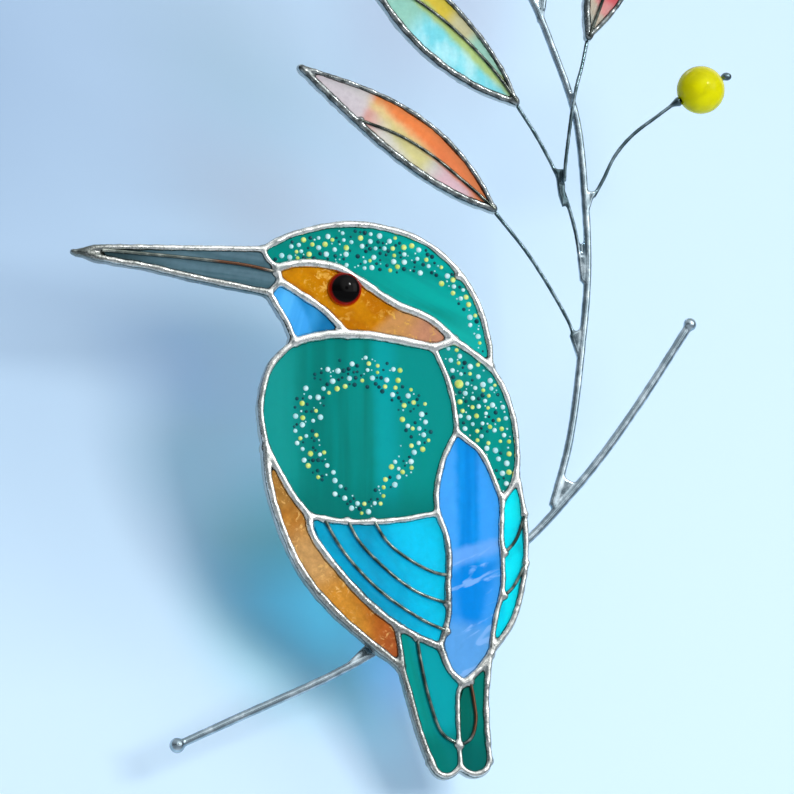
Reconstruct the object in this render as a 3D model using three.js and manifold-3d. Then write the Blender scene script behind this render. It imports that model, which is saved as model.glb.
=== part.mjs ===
// Stained glass kingfisher suncatcher. A copper-foiled bird panel sits in front of a wire
// branch. A twig soldered on the branch carries three glass leaves and a glass berry, and
// its top is turned over into the eye that the whole piece hangs from.
// Millimetres, +Z up. The front of the panel faces -Y. The origin is the highest point
// inside the hanging eye, in the plane of the branch and twig.

import * as THREE from 'three';
import { mergeVertices } from 'three/addons/utils/BufferGeometryUtils.js';
import Module from 'manifold-3d';

const wasm = await Module();
wasm.setup();

// Glass, foil and solder
const glassThickness = 3.0;
const clearGap = 0.3; // between two separate pieces that sit against each other
const foilWeb = 0.3; // metal between two neighbouring panes
const lipEdge = 1.9; // height of a solder bead above mid-plane, at its edge
const crestRise = 0.25; // further height of the crest, for each millimetre of bead width
const blobRise = 0.15; // extra height of the solder where seams meet

// Wires
const branchRadius = 1.1;
const twigRadius = 1.0;
const stemRadius = 0.6;
const berryStemRadius = 0.5;
const featherWireRadius = 0.35;
const leftBallRadius = 1.95;
const rightBallRadius = 1.65;
const webThickness = 1.5;
const hangingEyeRadius = 4; // of the hole
const cutReach = 4; // what clears a strip of the panel reaches this far in front and behind

// Eye and berry
const eyeOnSheet = [86.25, 126.25];
const eyeRadius = 4.4;
const eyeHeight = 2.7;
const berryOnSheet = [175.6, 176.4];
const berryAxis = [0.875, 0.484];
const berryRadius = 6.05;
const berryKnobRadius = 1.15;
const berryCapRadius = 1.35;
const berryCapLength = 2.6;

// Roundness: a curve turns at most maxTurn and runs at most maxStep between two sections
const maxTurn = THREE.MathUtils.degToRad(15);
const maxStep = 13;

// The pattern sheet. Its u runs right and its v runs up, in millimetres. The sheet shows the
// bird at a slant, and squareUp makes it square on.
const hangingEyeOnSheet = [105, 233.5];
const squareUp = { spread: 1.022, rise: 1.0125, lean: 0.034 };
const panelForward = 4.25; // the bird's mid-plane, in front of the plane of the branch
const panelSlide = [-1.3, -0.95]; // the bird's sheet, slid left and down over the branch's

function place([u, v]) {
  const [right, up] = [u - hangingEyeOnSheet[0], v - hangingEyeOnSheet[1]];
  const x = squareUp.spread * right;
  const y = squareUp.rise * up + squareUp.lean * right - hangingEyeRadius;
  return new THREE.Vector3(x, y, 0);
}

// Where the seams of the bird meet, on the sheet
const junctions = {
  beakTip: [17.75, 136],
  crownFoot: [66, 136.25],
  beakRoot: [69.25, 131.75],
  chinTop: [70.25, 128.25],
  chin: [67.5, 125.5],
  throatFoot: [74, 113.25],
  neckMid: [87, 115.1],
  neckBack: [108.5, 111.75],
  neckEnd: [113.75, 113.5],
  shoulderTop: [122.75, 107],
  rump: [66.75, 86.75],
  thigh: [77.4, 69.7],
  wingTop: [109.5, 70.25],
  scapular: [114.25, 90.75],
  farTop: [129.25, 80.25],
  farRoot: [125.75, 73.75],
  vent: [99.2, 42.4],
  ventFoot: [100.75, 32],
  wingTip: [110.25, 37],
  centreTip: [116, 27.75],
  farTip: [122.75, 35.25],
  tailNotch: [115.25, 7.25],
  leftFeatherEnd: [108, 8.4],
  rightFeatherEnd: [122.6, 8.6],
};

// Each seam runs from one junction to another through a few points of the sheet
const seams = {
  beakTop: { from: 'beakTip', via: [[24, 136.6], [45, 136.6]], to: 'crownFoot', width: 1.6 },
  beakBelow: { from: 'beakTip', via: [[25, 134.25], [37.5, 132], [50, 129.1]], to: 'chin', width: 1.9 },
  browStep: { from: 'crownFoot', via: [[67, 134]], to: 'beakRoot', width: 1.5 },
  gape: { from: 'beakRoot', via: [], to: 'chinTop', width: 2.0 },
  chinStep: { from: 'chinTop', via: [], to: 'chin', width: 1.8 },
  crownRim: {
    from: 'crownFoot',
    via: [[70, 138.5], [75, 140.5], [86.25, 142.5], [96.25, 141.6], [106.25, 138], [114, 131.5],
      [119.5, 122.75], [122.5, 112.25]],
    to: 'shoulderTop',
    width: 1.5,
  },
  eyeLine: {
    from: 'beakRoot',
    via: [[75, 132.8], [80, 132.7], [84.5, 131.7], [91, 127.9], [98.75, 122.75], [107.5, 119]],
    to: 'neckEnd',
    width: 2.5,
  },
  nape: { from: 'neckEnd', via: [[117.5, 111]], to: 'shoulderTop', width: 2.2 },
  cheek: {
    from: 'chinTop', via: [[74.25, 125.75], [81.25, 121], [84.5, 117.75]], to: 'neckMid', width: 2.3,
  },
  throatRim: { from: 'chin', via: [[69.75, 121.75], [71.75, 118.5]], to: 'throatFoot', width: 1.6 },
  neckFront: { from: 'throatFoot', via: [[77.5, 114.2], [82.5, 115]], to: 'neckMid', width: 2.7 },
  neckBehind: { from: 'neckMid', via: [[93.75, 114.7], [101.25, 113.3]], to: 'neckBack', width: 2.7 },
  neckStep: { from: 'neckBack', via: [], to: 'neckEnd', width: 2.4 },
  backRim: {
    from: 'throatFoot', via: [[70.5, 110.25], [67.75, 106.75], [65.5, 97.5]], to: 'rump', width: 1.6,
  },
  flank: { from: 'rump', via: [[68.7, 83.2], [72.8, 75.7]], to: 'thigh', width: 2.1 },
  backFoot: { from: 'thigh', via: [[86.25, 68.25], [97.5, 68.4]], to: 'wingTop', width: 1.8 },
  backShoulder: { from: 'neckBack', via: [[112.25, 103], [114, 95]], to: 'scapular', width: 1.7 },
  backCentre: { from: 'scapular', via: [[110.75, 83], [109.25, 75]], to: 'wingTop', width: 1.8 },
  shoulderRim: {
    from: 'shoulderTop', via: [[126, 101.5], [128.5, 94], [129.5, 84]], to: 'farTop', width: 1.5,
  },
  shoulderCentre: {
    from: 'scapular', via: [[117, 88.5], [120, 86], [122, 82.75], [124.5, 76.5]], to: 'farRoot', width: 1.7,
  },
  shoulderFar: { from: 'farTop', via: [[128.1, 76.9]], to: 'farRoot', width: 1.8 },
  bellyRim: {
    from: 'rump', via: [[67.75, 77.25], [71, 66.5], [75.75, 56.25], [83.25, 46.75], [92.5, 38.5]],
    to: 'ventFoot', width: 2.0,
  },
  bellyWing: {
    from: 'thigh', via: [[78, 65.8], [81.2, 60.6], [88.6, 51.8], [94.3, 46.2]], to: 'vent', width: 2.3,
  },
  tailTop: { from: 'vent', via: [[104.5, 39.5]], to: 'wingTip', width: 2.2 },
  bellyTail: { from: 'vent', via: [[99.9, 38.5]], to: 'ventFoot', width: 1.8 },
  wingSide: {
    from: 'wingTop', via: [[111.5, 65.2], [112.4, 60], [112.1, 52], [112.3, 45]], to: 'wingTip', width: 1.9,
  },
  farRim: {
    from: 'farTop', via: [[130.9, 72], [131.6, 62.5], [130.9, 53.2], [128.3, 43.6]], to: 'farTip', width: 1.5,
  },
  centreFar: {
    from: 'farRoot', via: [[125.5, 66], [125.8, 52], [124, 43.8]], to: 'farTip', width: 1.6,
  },
  centreFootLeft: { from: 'wingTip', via: [[112.6, 31.2]], to: 'centreTip', width: 2.1 },
  centreFootRight: { from: 'centreTip', via: [[119.6, 31]], to: 'farTip', width: 2.1 },
  tailLeftRim: { from: 'ventFoot', via: [[102.8, 24.4], [105.2, 16]], to: 'leftFeatherEnd', width: 1.7 },
  tailLeftTip: {
    from: 'leftFeatherEnd', via: [[109.4, 5.9], [111.2, 4.9], [113.2, 5.3]], to: 'tailNotch', width: 1.6,
  },
  tailCentre: { from: 'centreTip', via: [[114.9, 26.2], [114.6, 20]], to: 'tailNotch', width: 1.4 },
  tailRightTip: {
    from: 'tailNotch', via: [[116.8, 5.9], [119, 5.2], [121.5, 6.2]], to: 'rightFeatherEnd', width: 1.6,
  },
  tailRightRim: {
    from: 'rightFeatherEnd', via: [[121.8, 17], [121.8, 27]], to: 'farTip', width: 1.6,
  },
};

// Each pane is bounded by a loop of seams. A minus sign runs a seam backwards.
const panes = {
  beak_glass: {
    loop: ['beakTop', 'browStep', 'gape', 'chinStep', '-beakBelow'], colour: 0x557d8c,
  },
  crown_glass: { loop: ['crownRim', '-nape', '-eyeLine', '-browStep'], colour: 0x0a968f },
  eye_patch_glass: { loop: ['eyeLine', '-neckStep', '-neckBehind', '-cheek', '-gape'], colour: 0xcd8212 },
  throat_glass: { loop: ['cheek', '-neckFront', '-throatRim', '-chinStep'], colour: 0x46a0e0 },
  back_glass: {
    loop: ['neckFront', 'neckBehind', 'backShoulder', 'backCentre', '-backFoot', '-flank', '-backRim'],
    colour: 0x088c86,
  },
  shoulder_glass: {
    loop: ['neckStep', 'nape', 'shoulderRim', 'shoulderFar', '-shoulderCentre', '-backShoulder'],
    colour: 0x0f8b80,
  },
  centre_feather_glass: {
    loop: ['shoulderCentre', 'centreFar', '-centreFootRight', '-centreFootLeft', '-wingSide', '-backCentre'],
    colour: 0x1e96e6,
  },
  wing_glass: { loop: ['backFoot', 'wingSide', '-tailTop', '-bellyWing'], colour: 0x08c0ec },
  belly_glass: { loop: ['flank', 'bellyWing', 'bellyTail', '-bellyRim'], colour: 0xcd913c },
  far_wing_glass: { loop: ['farRim', '-centreFar', '-shoulderFar'], colour: 0x10dcf5 },
  tail_left_glass: {
    loop: ['tailTop', 'centreFootLeft', 'tailCentre', '-tailLeftTip', '-tailLeftRim', '-bellyTail'],
    colour: 0x08a8ac,
  },
  tail_right_glass: {
    loop: ['centreFootRight', '-tailRightRim', '-tailRightTip', '-tailCentre'], colour: 0x087870,
  },
};

// Feather wires lie on the front of the glass, from one bead to another
const featherWires = {
  beak_wire: {
    around: 'beak_glass', through: [[27, 136], [37.5, 135], [50, 133.75], [62, 132.2], [69.5, 130.4]],
  },
  wing_wire_1: {
    around: 'wing_glass',
    through: [[80.8, 69.4], [85.9, 60.8], [94.9, 51.1], [105.6, 43.7], [112.4, 40.6]],
  },
  wing_wire_2: {
    around: 'wing_glass', through: [[86.7, 69], [90.2, 62.8], [99.8, 53.6], [105.6, 50], [112.4, 47.6]],
  },
  wing_wire_3: {
    around: 'wing_glass', through: [[93.2, 69], [96.9, 63.1], [102.1, 58.9], [108.3, 55.6], [112.8, 54.6]],
  },
  far_wing_wire_1: { around: 'far_wing_glass', through: [[126, 60], [128.9, 63.4], [131.4, 70.6]] },
  far_wing_wire_2: { around: 'far_wing_glass', through: [[125.8, 49.4], [128.1, 51.5], [131.8, 58.4]] },
  tail_left_wire: {
    around: 'tail_left_glass',
    through: [[104.3, 39.6], [105, 34.75], [107.5, 23.5], [110.75, 15.25], [115, 12.5]],
  },
  tail_right_wire: {
    around: 'tail_right_glass',
    through: [[117.6, 28.6], [118.5, 23.5], [119, 18.5], [117.75, 14], [114.8, 12.2]],
  },
};

// Routes of the branch, twig and stems: u and v on the sheet, and how far forward of the branch's plane
const branchRoute = [
  [44.5, 12.5, 0], [60, 19.5, 0], [82.5, 29.6, 0], [93.25, 35.5, 0], [106, 44, 0], [120, 54.6, 0],
  [132, 63.6, 0], [141.5, 73.6, 0], [150, 83.75, 0], [160, 97.75, 0], [172.75, 117.5, 0],
];
const twigRoute = [
  [138.2, 72, 0], [142.5, 88.25, 0], [145.75, 113.25, 0], [147.1, 131, 0], [146.5, 148.25, 0],
  [144.1, 169.75, 0], [138.15, 187.25, 0], [133.5, 198.5, 0], [127.8, 208.6, 0], [120, 217.3, 0],
  [111, 223.6, 0],
];
const hangingEyeTurn = { start: 225, end: 50 }; // degrees round the hanging eye, clockwise
const eyeReturnRoute = [
  [113.6, 232.6, 0], [120.2, 226.6, 0], [128, 218.2, 0], [133.8, 208.6, 0], [136, 202, 0],
  [135.7, 196.5, 0],
];

// Solder webs in the forks, as corners on the sheet
const twigWebs = [
  [[140.6, 82], [141.6, 78.8], [144.2, 77.6], [139, 71], [138, 71.6]], // on the branch
  [[145.6, 116.6], [142.6, 114.8], [144.6, 108.6], [146, 110]], // first leaf's stem
  [[147, 135.2], [144.6, 134.6], [145.2, 128.4], [147, 127]], // second leaf's stem
  [[146.2, 150.6], [149, 151], [147.2, 145.2], [146.4, 145]], // berry's stem
  [[133.6, 199], [136.4, 199], [136.2, 194.6], [134.6, 193]], // end of the eye's wire
];
const stemWeb = [[139, 156.4], [141, 156.4], [141.4, 152], [141, 146.5], [139.8, 150]];
const rimWeb = [[87.5, 33.6], [91.4, 37.4], [95.5, 35.6], [89, 31.8]];

// Leaves: base and tip on the sheet, and half width and sideways bow in millimetres
const leafRimWidth = 1.4;
const leafSteps = 9; // points along each edge
const leaves = [
  {
    base: [123.4, 146.2], tip: [75.2, 181.6], halfWidth: 5.7, bow: 2, colour: 0xe8d0c0,
    midrib: [[0, 0], [0.18, 1], [0.34, 1.5], [0.5, 0.7], [0.68, -2.2]],
    stem: [[123.9, 145.6, 0], [132.75, 134.25, 0], [142.25, 118.25, 0], [144, 113.6, 0]],
  },
  {
    base: [129, 173], tip: [83.8, 220.6], halfWidth: 6.7, bow: -1.4, colour: 0x78e0f0,
    midrib: [[0, 0], [0.1, 1], [0.26, 1.5], [0.42, 0.8], [0.56, -0.9], [0.78, -5]],
    stem: [
      [129.4, 172.4, 0], [134.25, 164.75, 0], [138.75, 156.25, 0], [141.5, 149.6, 0],
      [144.2, 140, 0], [145.15, 133.4, 0],
    ],
  },
  {
    base: [147.1, 189.4], tip: [166.9, 249.8], halfWidth: 6.4, bow: 1.0, colour: 0xeb8282,
    midrib: [[0, 0], [0.15, 0.4], [0.35, 0.6], [0.55, 2], [0.7, 4.6]],
    stem: [
      [147, 188.6, 0], [145.5, 182.25, 1.2], [143.7, 176, 2.2], [142.6, 169.5, 2.2], [141.15, 157, 1.7],
      [140.9, 153, 1.7],
    ],
  },
];

const berryStemRoute = [
  [148.6, 149.4, 0], [151, 153.75, 0], [154, 159.8, 0], [158.4, 165, 0], [164.4, 169.6, 0],
];

const finishes = {
  solder: { color: 0xa8aeb2, roughness: 0.3, metalness: 1 },
  wire: { color: 0x7a8488, roughness: 0.35, metalness: 1 },
  eye: { color: 0x141010, roughness: 0.08, metalness: 0 },
  berry: { color: 0xd7d70a, roughness: 0.2, metalness: 0 },
};

// Solids

function solidOf(geometry) {
  const bare = geometry.clone();
  bare.deleteAttribute('normal');
  bare.deleteAttribute('uv');
  const merged = mergeVertices(bare, 1e-4);
  const corners = merged.index.array;
  const kept = [];
  for (let i = 0; i < corners.length; i += 3) {
    const [a, b, c] = corners.slice(i, i + 3);
    if (a !== b && b !== c && c !== a) {
      kept.push(a, b, c);
    }
  }
  const vertProperties = new Float32Array(merged.attributes.position.array);
  return new wasm.Manifold(new wasm.Mesh({ numProp: 3, vertProperties, triVerts: new Uint32Array(kept) }));
}

function geometryOf(solid) {
  const mesh = solid.getMesh();
  const geometry = new THREE.BufferGeometry();
  geometry.setAttribute('position', new THREE.BufferAttribute(new Float32Array(mesh.vertProperties), 3));
  geometry.setIndex(new THREE.BufferAttribute(new Uint32Array(mesh.triVerts), 1));
  geometry.computeVertexNormals();
  return geometry;
}

function joinAll(solids) {
  return wasm.Manifold.union(solids);
}

function curveThrough(points) {
  return new THREE.CatmullRomCurve3(points, false, 'centripetal');
}

function stepsAlong(curve) {
  const samples = 80;
  let turn = 0;
  for (let i = 1; i <= samples; i += 1) {
    turn += curve.getTangentAt((i - 1) / samples).angleTo(curve.getTangentAt(i / samples));
  }
  return Math.max(1, Math.ceil(Math.max(curve.getLength() / maxStep, turn / maxTurn)));
}

function sweep(curve, section) {
  const steps = stepsAlong(curve);
  return solidOf(new THREE.ExtrudeGeometry(section, { steps, bevelEnabled: false, extrudePath: curve }));
}

// A closed flat outline, made thickness deep about mid-plane
function slab(points, thickness) {
  const shape = new THREE.Shape(points.map((p) => new THREE.Vector2(p.x, p.y)));
  const geometry = new THREE.ExtrudeGeometry(shape, { depth: thickness, bevelEnabled: false });
  geometry.translate(0, 0, -thickness / 2);
  return solidOf(geometry);
}

function disc(radius, sides) {
  const shape = new THREE.Shape();
  for (let i = 0; i < sides; i += 1) {
    const angle = (2 * Math.PI * (i + 0.5)) / sides;
    const [x, y] = [radius * Math.cos(angle), radius * Math.sin(angle)];
    if (i === 0) {
      shape.moveTo(x, y);
    } else {
      shape.lineTo(x, y);
    }
  }
  shape.closePath();
  return shape;
}

// Seams

function crestOf(width) {
  return lipEdge + crestRise * width;
}

function blobRadius(width) {
  return 0.55 * width + 0.3;
}

// Section of a solder bead, grown all round by margin: x is depth through the panel, y is across the seam
function beadSection(width, margin = 0) {
  const [side, edge, crest] = [width / 2 + margin, lipEdge + margin, crestOf(width) + margin];
  const half = [[edge, -side], [crest, 0], [edge, side]];
  const corners = [...half, ...half.map(([depth, across]) => [-depth, -across])];
  return new THREE.Shape(corners.map(([x, y]) => new THREE.Vector2(x, y)));
}

// Section that clears a strip right through the panel
function stripSection(halfWidth) {
  const corners = [
    [cutReach, -halfWidth], [cutReach, halfWidth], [-cutReach, halfWidth], [-cutReach, -halfWidth],
  ];
  return new THREE.Shape(corners.map(([x, y]) => new THREE.Vector2(x, y)));
}

// Solder standing where seams meet, six-sided and a little higher than the beads
function blob(point, radius, crest) {
  const profile = [[0, -crest], [radius, -lipEdge], [radius, lipEdge], [0, crest]];
  const geometry = new THREE.LatheGeometry(profile.map(([x, y]) => new THREE.Vector2(x, y)), 6);
  geometry.rotateX(Math.PI / 2);
  geometry.translate(point.x, point.y, 0);
  return solidOf(geometry);
}

function post(point, radius) {
  const geometry = new THREE.ExtrudeGeometry(disc(radius, 8), { depth: 2 * cutReach, bevelEnabled: false });
  geometry.translate(point.x, point.y, -cutReach);
  return solidOf(geometry);
}

function seamCurve({ from, via, to }) {
  return curveThrough([junctions[from], ...via, junctions[to]].map(place));
}

const seamCurves = Object.fromEntries(Object.entries(seams).map(([name, seam]) => [name, seamCurve(seam)]));

function seamOf(signedName) {
  return signedName.replace('-', '');
}

// Corner points of a pane's loop, along the middle of its seams
function loopPoints(loop) {
  return loop.flatMap((signedName) => {
    const curve = seamCurves[seamOf(signedName)];
    const points = curve.getSpacedPoints(stepsAlong(curve));
    if (signedName.startsWith('-')) {
      points.reverse();
    }
    return points.slice(0, -1);
  });
}

// Strips of one half width along a loop, rounded off at its junctions
function loopStrips(loop, halfWidthOf) {
  return joinAll(loop.flatMap((signedName) => {
    const name = seamOf(signedName);
    const half = halfWidthOf(seams[name].width);
    const ends = [seams[name].from, seams[name].to].map((junction) => post(place(junctions[junction]), half));
    return [sweep(seamCurves[name], stripSection(half)), ...ends];
  }));
}

function paneSolid(loop) {
  const strips = loopStrips(loop, () => foilWeb / 2 + clearGap);
  return slab(loopPoints(loop), glassThickness).subtract(strips);
}

function pocketSolid(loop) {
  const strips = loopStrips(loop, () => foilWeb / 2);
  return slab(loopPoints(loop), glassThickness + 2 * clearGap).subtract(strips);
}

function solderSolid() {
  const beads = Object.entries(seams).map(([name, seam]) => sweep(seamCurves[name], beadSection(seam.width)));
  const blobs = Object.entries(junctions).map(([name, point]) => {
    const meeting = Object.values(seams).filter(({ from, to }) => from === name || to === name);
    const widest = Math.max(...meeting.map(({ width }) => width));
    return blob(place(point), blobRadius(widest), crestOf(widest) + blobRise);
  });
  const pockets = Object.values(panes).map(({ loop }) => pocketSolid(loop));
  return joinAll([...beads, ...blobs]).subtract(joinAll(pockets));
}

// A thin wire on the front of the glass, kept clear of the solder around it
function featherWireSolid({ around, through }) {
  const forward = glassThickness / 2 + clearGap + featherWireRadius;
  const curve = curveThrough(through.map((point) => place(point).setZ(forward)));
  const solder = loopStrips(panes[around].loop, (width) => blobRadius(width) + 1.5 * clearGap);
  return sweep(curve, disc(featherWireRadius, 6)).subtract(solder);
}

// Wires of the branch

function routePoints(route) {
  return route.map(([u, v, forward]) => place([u, v]).setZ(forward));
}

function wire(route, radius, sides = 8) {
  return sweep(curveThrough(routePoints(route)), disc(radius, sides));
}

// The turn at the top of the twig, in the middle of its wire
function hangingEyePoint(degrees) {
  const angle = THREE.MathUtils.degToRad(degrees);
  const radius = hangingEyeRadius + twigRadius;
  const centre = place(hangingEyeOnSheet);
  return new THREE.Vector3(centre.x + radius * Math.cos(angle), centre.y + radius * Math.sin(angle), 0);
}

function hangingEyeSolids() {
  const turns = 8;
  const { start, end } = hangingEyeTurn;
  const arc = [];
  for (let i = 0; i <= turns; i += 1) {
    arc.push(hangingEyePoint(start + ((end - start) * i) / turns));
  }
  const rising = curveThrough([...routePoints(twigRoute), arc[0]]);
  const falling = curveThrough([arc.at(-1), ...routePoints(eyeReturnRoute)]);
  return [rising, curveThrough(arc), falling].map((curve) => sweep(curve, disc(twigRadius, 8)));
}

function ball([u, v], radius) {
  const geometry = new THREE.SphereGeometry(radius, 10, 7);
  const { x, y } = place([u, v]);
  geometry.translate(x, y, 0);
  return solidOf(geometry);
}

function web(corners) {
  return slab(corners.map(place), webThickness);
}

function branchSolid() {
  const ends = [ball(branchRoute.at(0), leftBallRadius), ball(branchRoute.at(-1), rightBallRadius)];
  return joinAll([wire(branchRoute, branchRadius), web(rimWeb), ...ends]);
}

function twigSolid() {
  const body = joinAll([...hangingEyeSolids(), ...twigWebs.map(web)]);
  const stems = leaves.map(({ stem }) => wire(stem, stemRadius + clearGap));
  const berry = wire(berryStemRoute, berryStemRadius + clearGap);
  return body.subtract(joinAll([wire(branchRoute, branchRadius + clearGap), ...stems, berry]));
}

function stemSolid(index) {
  const stem = wire(leaves[index].stem, stemRadius, 6);
  if (index !== 1) {
    return stem;
  }
  return stem.add(web(stemWeb)).subtract(wire(leaves[2].stem, stemRadius + clearGap));
}

// Leaves

// A point of a leaf: along its length from 0 to 1, and sideways of its axis in millimetres
function leafPoint({ base, tip }, along, sideways) {
  const [start, end] = [place(base), place(tip)];
  const axis = end.clone().sub(start);
  const across = new THREE.Vector3(axis.y, -axis.x, 0).normalize();
  return start.addScaledVector(axis, along).addScaledVector(across, sideways);
}

// One edge of a leaf, widest a little nearer the stem than the tip
function leafEdge(leaf, side) {
  const points = [];
  for (let i = 0; i <= leafSteps; i += 1) {
    const along = i / leafSteps;
    const half = leaf.halfWidth * Math.sin(Math.PI * along ** 0.84);
    points.push(leafPoint(leaf, along, leaf.bow * Math.sin(Math.PI * along) + side * half));
  }
  return curveThrough(points);
}

function leafStrips(leaf, halfWidth) {
  const edges = [1, -1].map((side) => sweep(leafEdge(leaf, side), stripSection(halfWidth)));
  return joinAll([...edges, ...[leaf.base, leaf.tip].map((point) => post(place(point), halfWidth))]);
}

function leafOutline(leaf) {
  const [right, left] = [1, -1].map((side) => {
    const curve = leafEdge(leaf, side);
    return curve.getSpacedPoints(stepsAlong(curve));
  });
  return [...right.slice(0, -1), ...left.reverse().slice(0, -1)];
}

function leafGlassSolid(leaf) {
  return slab(leafOutline(leaf), glassThickness).subtract(leafStrips(leaf, foilWeb / 2 + clearGap));
}

function leafRimSolid(leaf) {
  const beads = [1, -1].map((side) => sweep(leafEdge(leaf, side), beadSection(leafRimWidth)));
  const crest = crestOf(leafRimWidth) + blobRise;
  const ends = [leaf.base, leaf.tip].map((point) => blob(place(point), 0.75 * leafRimWidth, crest));
  const pocket = slab(leafOutline(leaf), glassThickness + 2 * clearGap);
  const stem = wire(leaf.stem, stemRadius + clearGap);
  return joinAll([...beads, ...ends]).subtract(pocket.subtract(leafStrips(leaf, foilWeb / 2))).subtract(stem);
}

function midribSolid(leaf) {
  const forward = glassThickness / 2 + clearGap + featherWireRadius;
  const points = leaf.midrib.map(([along, sideways]) => leafPoint(leaf, along, sideways).setZ(forward));
  const curve = curveThrough(points);
  const solder = leafStrips(leaf, leafRimWidth / 2 + clearGap);
  const baseBlob = post(place(leaf.base), 0.75 * leafRimWidth + 2 * clearGap);
  return sweep(curve, disc(featherWireRadius, 6)).subtract(solder.add(baseBlob));
}

// Eye and berry

function eyeSolid() {
  const rise = [[0, 0], [1, 0], [1, 0.2], [0.9, 0.36], [0.76, 0.66], [0.52, 0.88], [0.26, 0.98], [0, 1]];
  const profile = rise.map(([r, h]) => new THREE.Vector2(r * eyeRadius, h * eyeHeight));
  const geometry = new THREE.LatheGeometry(profile, 18);
  geometry.rotateX(Math.PI / 2);
  const { x, y } = place(eyeOnSheet);
  geometry.translate(x, y, glassThickness / 2 + clearGap);
  const bead = sweep(seamCurves.eyeLine, beadSection(seams.eyeLine.width, clearGap));
  return solidOf(geometry).subtract(bead);
}

function alongBerry(distance) {
  const axis = new THREE.Vector3(...berryAxis, 0).normalize();
  return place(berryOnSheet).addScaledVector(axis, distance);
}

function berryBore(radius) {
  const curve = new THREE.LineCurve3(alongBerry(-2 * berryRadius), alongBerry(2 * berryRadius));
  return sweep(curve, disc(radius, 8));
}

function berrySolid() {
  const geometry = new THREE.SphereGeometry(berryRadius, 14, 10);
  const { x, y } = place(berryOnSheet);
  geometry.translate(x, y, 0);
  return solidOf(geometry).subtract(berryBore(berryStemRadius + clearGap));
}

function berryStemSolid() {
  const capEnd = alongBerry(-berryRadius - clearGap);
  const knobCentre = alongBerry(berryRadius + clearGap + berryKnobRadius);
  const route = berryStemRoute.map(([u, v]) => place([u, v]));
  const capStart = alongBerry(-berryRadius - clearGap - 0.7 * berryCapLength);
  const curve = curveThrough([...route, capStart]);
  const through = new THREE.LineCurve3(alongBerry(-berryRadius - berryCapLength), knobCentre);
  const cap = new THREE.ConeGeometry(berryCapRadius, berryCapLength, 8);
  const axis = new THREE.Vector3(...berryAxis, 0).normalize();
  cap.rotateZ(axis.angleTo(new THREE.Vector3(0, -1, 0)));
  cap.translate(capEnd.x - 0.5 * berryCapLength * axis.x, capEnd.y - 0.5 * berryCapLength * axis.y, 0);
  const knob = new THREE.SphereGeometry(berryKnobRadius, 8, 6);
  knob.translate(knobCentre.x, knobCentre.y, 0);
  const section = disc(berryStemRadius, 6);
  return joinAll([sweep(curve, section), sweep(through, section), solidOf(cap), solidOf(knob)]);
}

// Assembly

// Everything is drawn flat, with the front towards +Z, and the group stands it upright
const group = new THREE.Group();
const standing = new THREE.Group();
standing.rotation.x = Math.PI / 2;
group.add(standing);

const bird = new THREE.Group();
bird.position.set(panelSlide[0], panelSlide[1], panelForward);
standing.add(bird);

const branchwork = new THREE.Group();
standing.add(branchwork);

function addPiece(parent, name, solid, finish) {
  const mesh = new THREE.Mesh(geometryOf(solid), new THREE.MeshStandardMaterial(finish));
  mesh.name = name;
  parent.add(mesh);
}

function glassFinish(color) {
  return { color, roughness: 0.1, metalness: 0 };
}

addPiece(bird, 'solder_seams', solderSolid(), finishes.solder);
for (const [name, { loop, colour }] of Object.entries(panes)) {
  addPiece(bird, name, paneSolid(loop), glassFinish(colour));
}
for (const [name, featherWire] of Object.entries(featherWires)) {
  addPiece(bird, name, featherWireSolid(featherWire), finishes.wire);
}
addPiece(bird, 'eye', eyeSolid(), finishes.eye);

addPiece(branchwork, 'branch', branchSolid(), finishes.wire);
addPiece(branchwork, 'twig', twigSolid(), finishes.wire);
leaves.forEach((leaf, index) => {
  const name = `leaf_${index + 1}`;
  addPiece(branchwork, `${name}_glass`, leafGlassSolid(leaf), glassFinish(leaf.colour));
  addPiece(branchwork, `${name}_rim`, leafRimSolid(leaf), finishes.solder);
  addPiece(branchwork, `${name}_midrib`, midribSolid(leaf), finishes.wire);
  addPiece(branchwork, `${name}_stem`, stemSolid(index), finishes.wire);
});
addPiece(branchwork, 'berry', berrySolid(), finishes.berry);
addPiece(branchwork, 'berry_stem', berryStemSolid(), finishes.wire);

export default group;
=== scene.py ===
import math
import random

import bpy
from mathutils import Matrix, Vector, kdtree, noise


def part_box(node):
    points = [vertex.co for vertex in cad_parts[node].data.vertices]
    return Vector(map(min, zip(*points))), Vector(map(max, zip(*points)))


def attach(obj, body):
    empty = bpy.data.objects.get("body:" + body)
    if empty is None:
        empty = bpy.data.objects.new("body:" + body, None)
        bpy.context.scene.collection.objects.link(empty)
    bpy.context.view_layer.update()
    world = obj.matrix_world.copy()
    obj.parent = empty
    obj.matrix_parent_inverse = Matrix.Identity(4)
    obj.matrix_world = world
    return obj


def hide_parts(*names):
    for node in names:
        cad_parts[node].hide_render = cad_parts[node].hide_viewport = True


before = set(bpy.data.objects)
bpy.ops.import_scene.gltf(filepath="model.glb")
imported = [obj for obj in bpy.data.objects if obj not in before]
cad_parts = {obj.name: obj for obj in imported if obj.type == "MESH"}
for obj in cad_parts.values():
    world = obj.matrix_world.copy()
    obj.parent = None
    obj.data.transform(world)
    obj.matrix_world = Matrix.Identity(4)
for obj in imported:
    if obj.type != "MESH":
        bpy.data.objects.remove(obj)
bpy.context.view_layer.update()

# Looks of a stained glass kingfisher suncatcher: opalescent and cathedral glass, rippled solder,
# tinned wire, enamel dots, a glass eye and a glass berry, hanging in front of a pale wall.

mm = 0.001
print("frame loaded:", len(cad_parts), "nodes")

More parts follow.
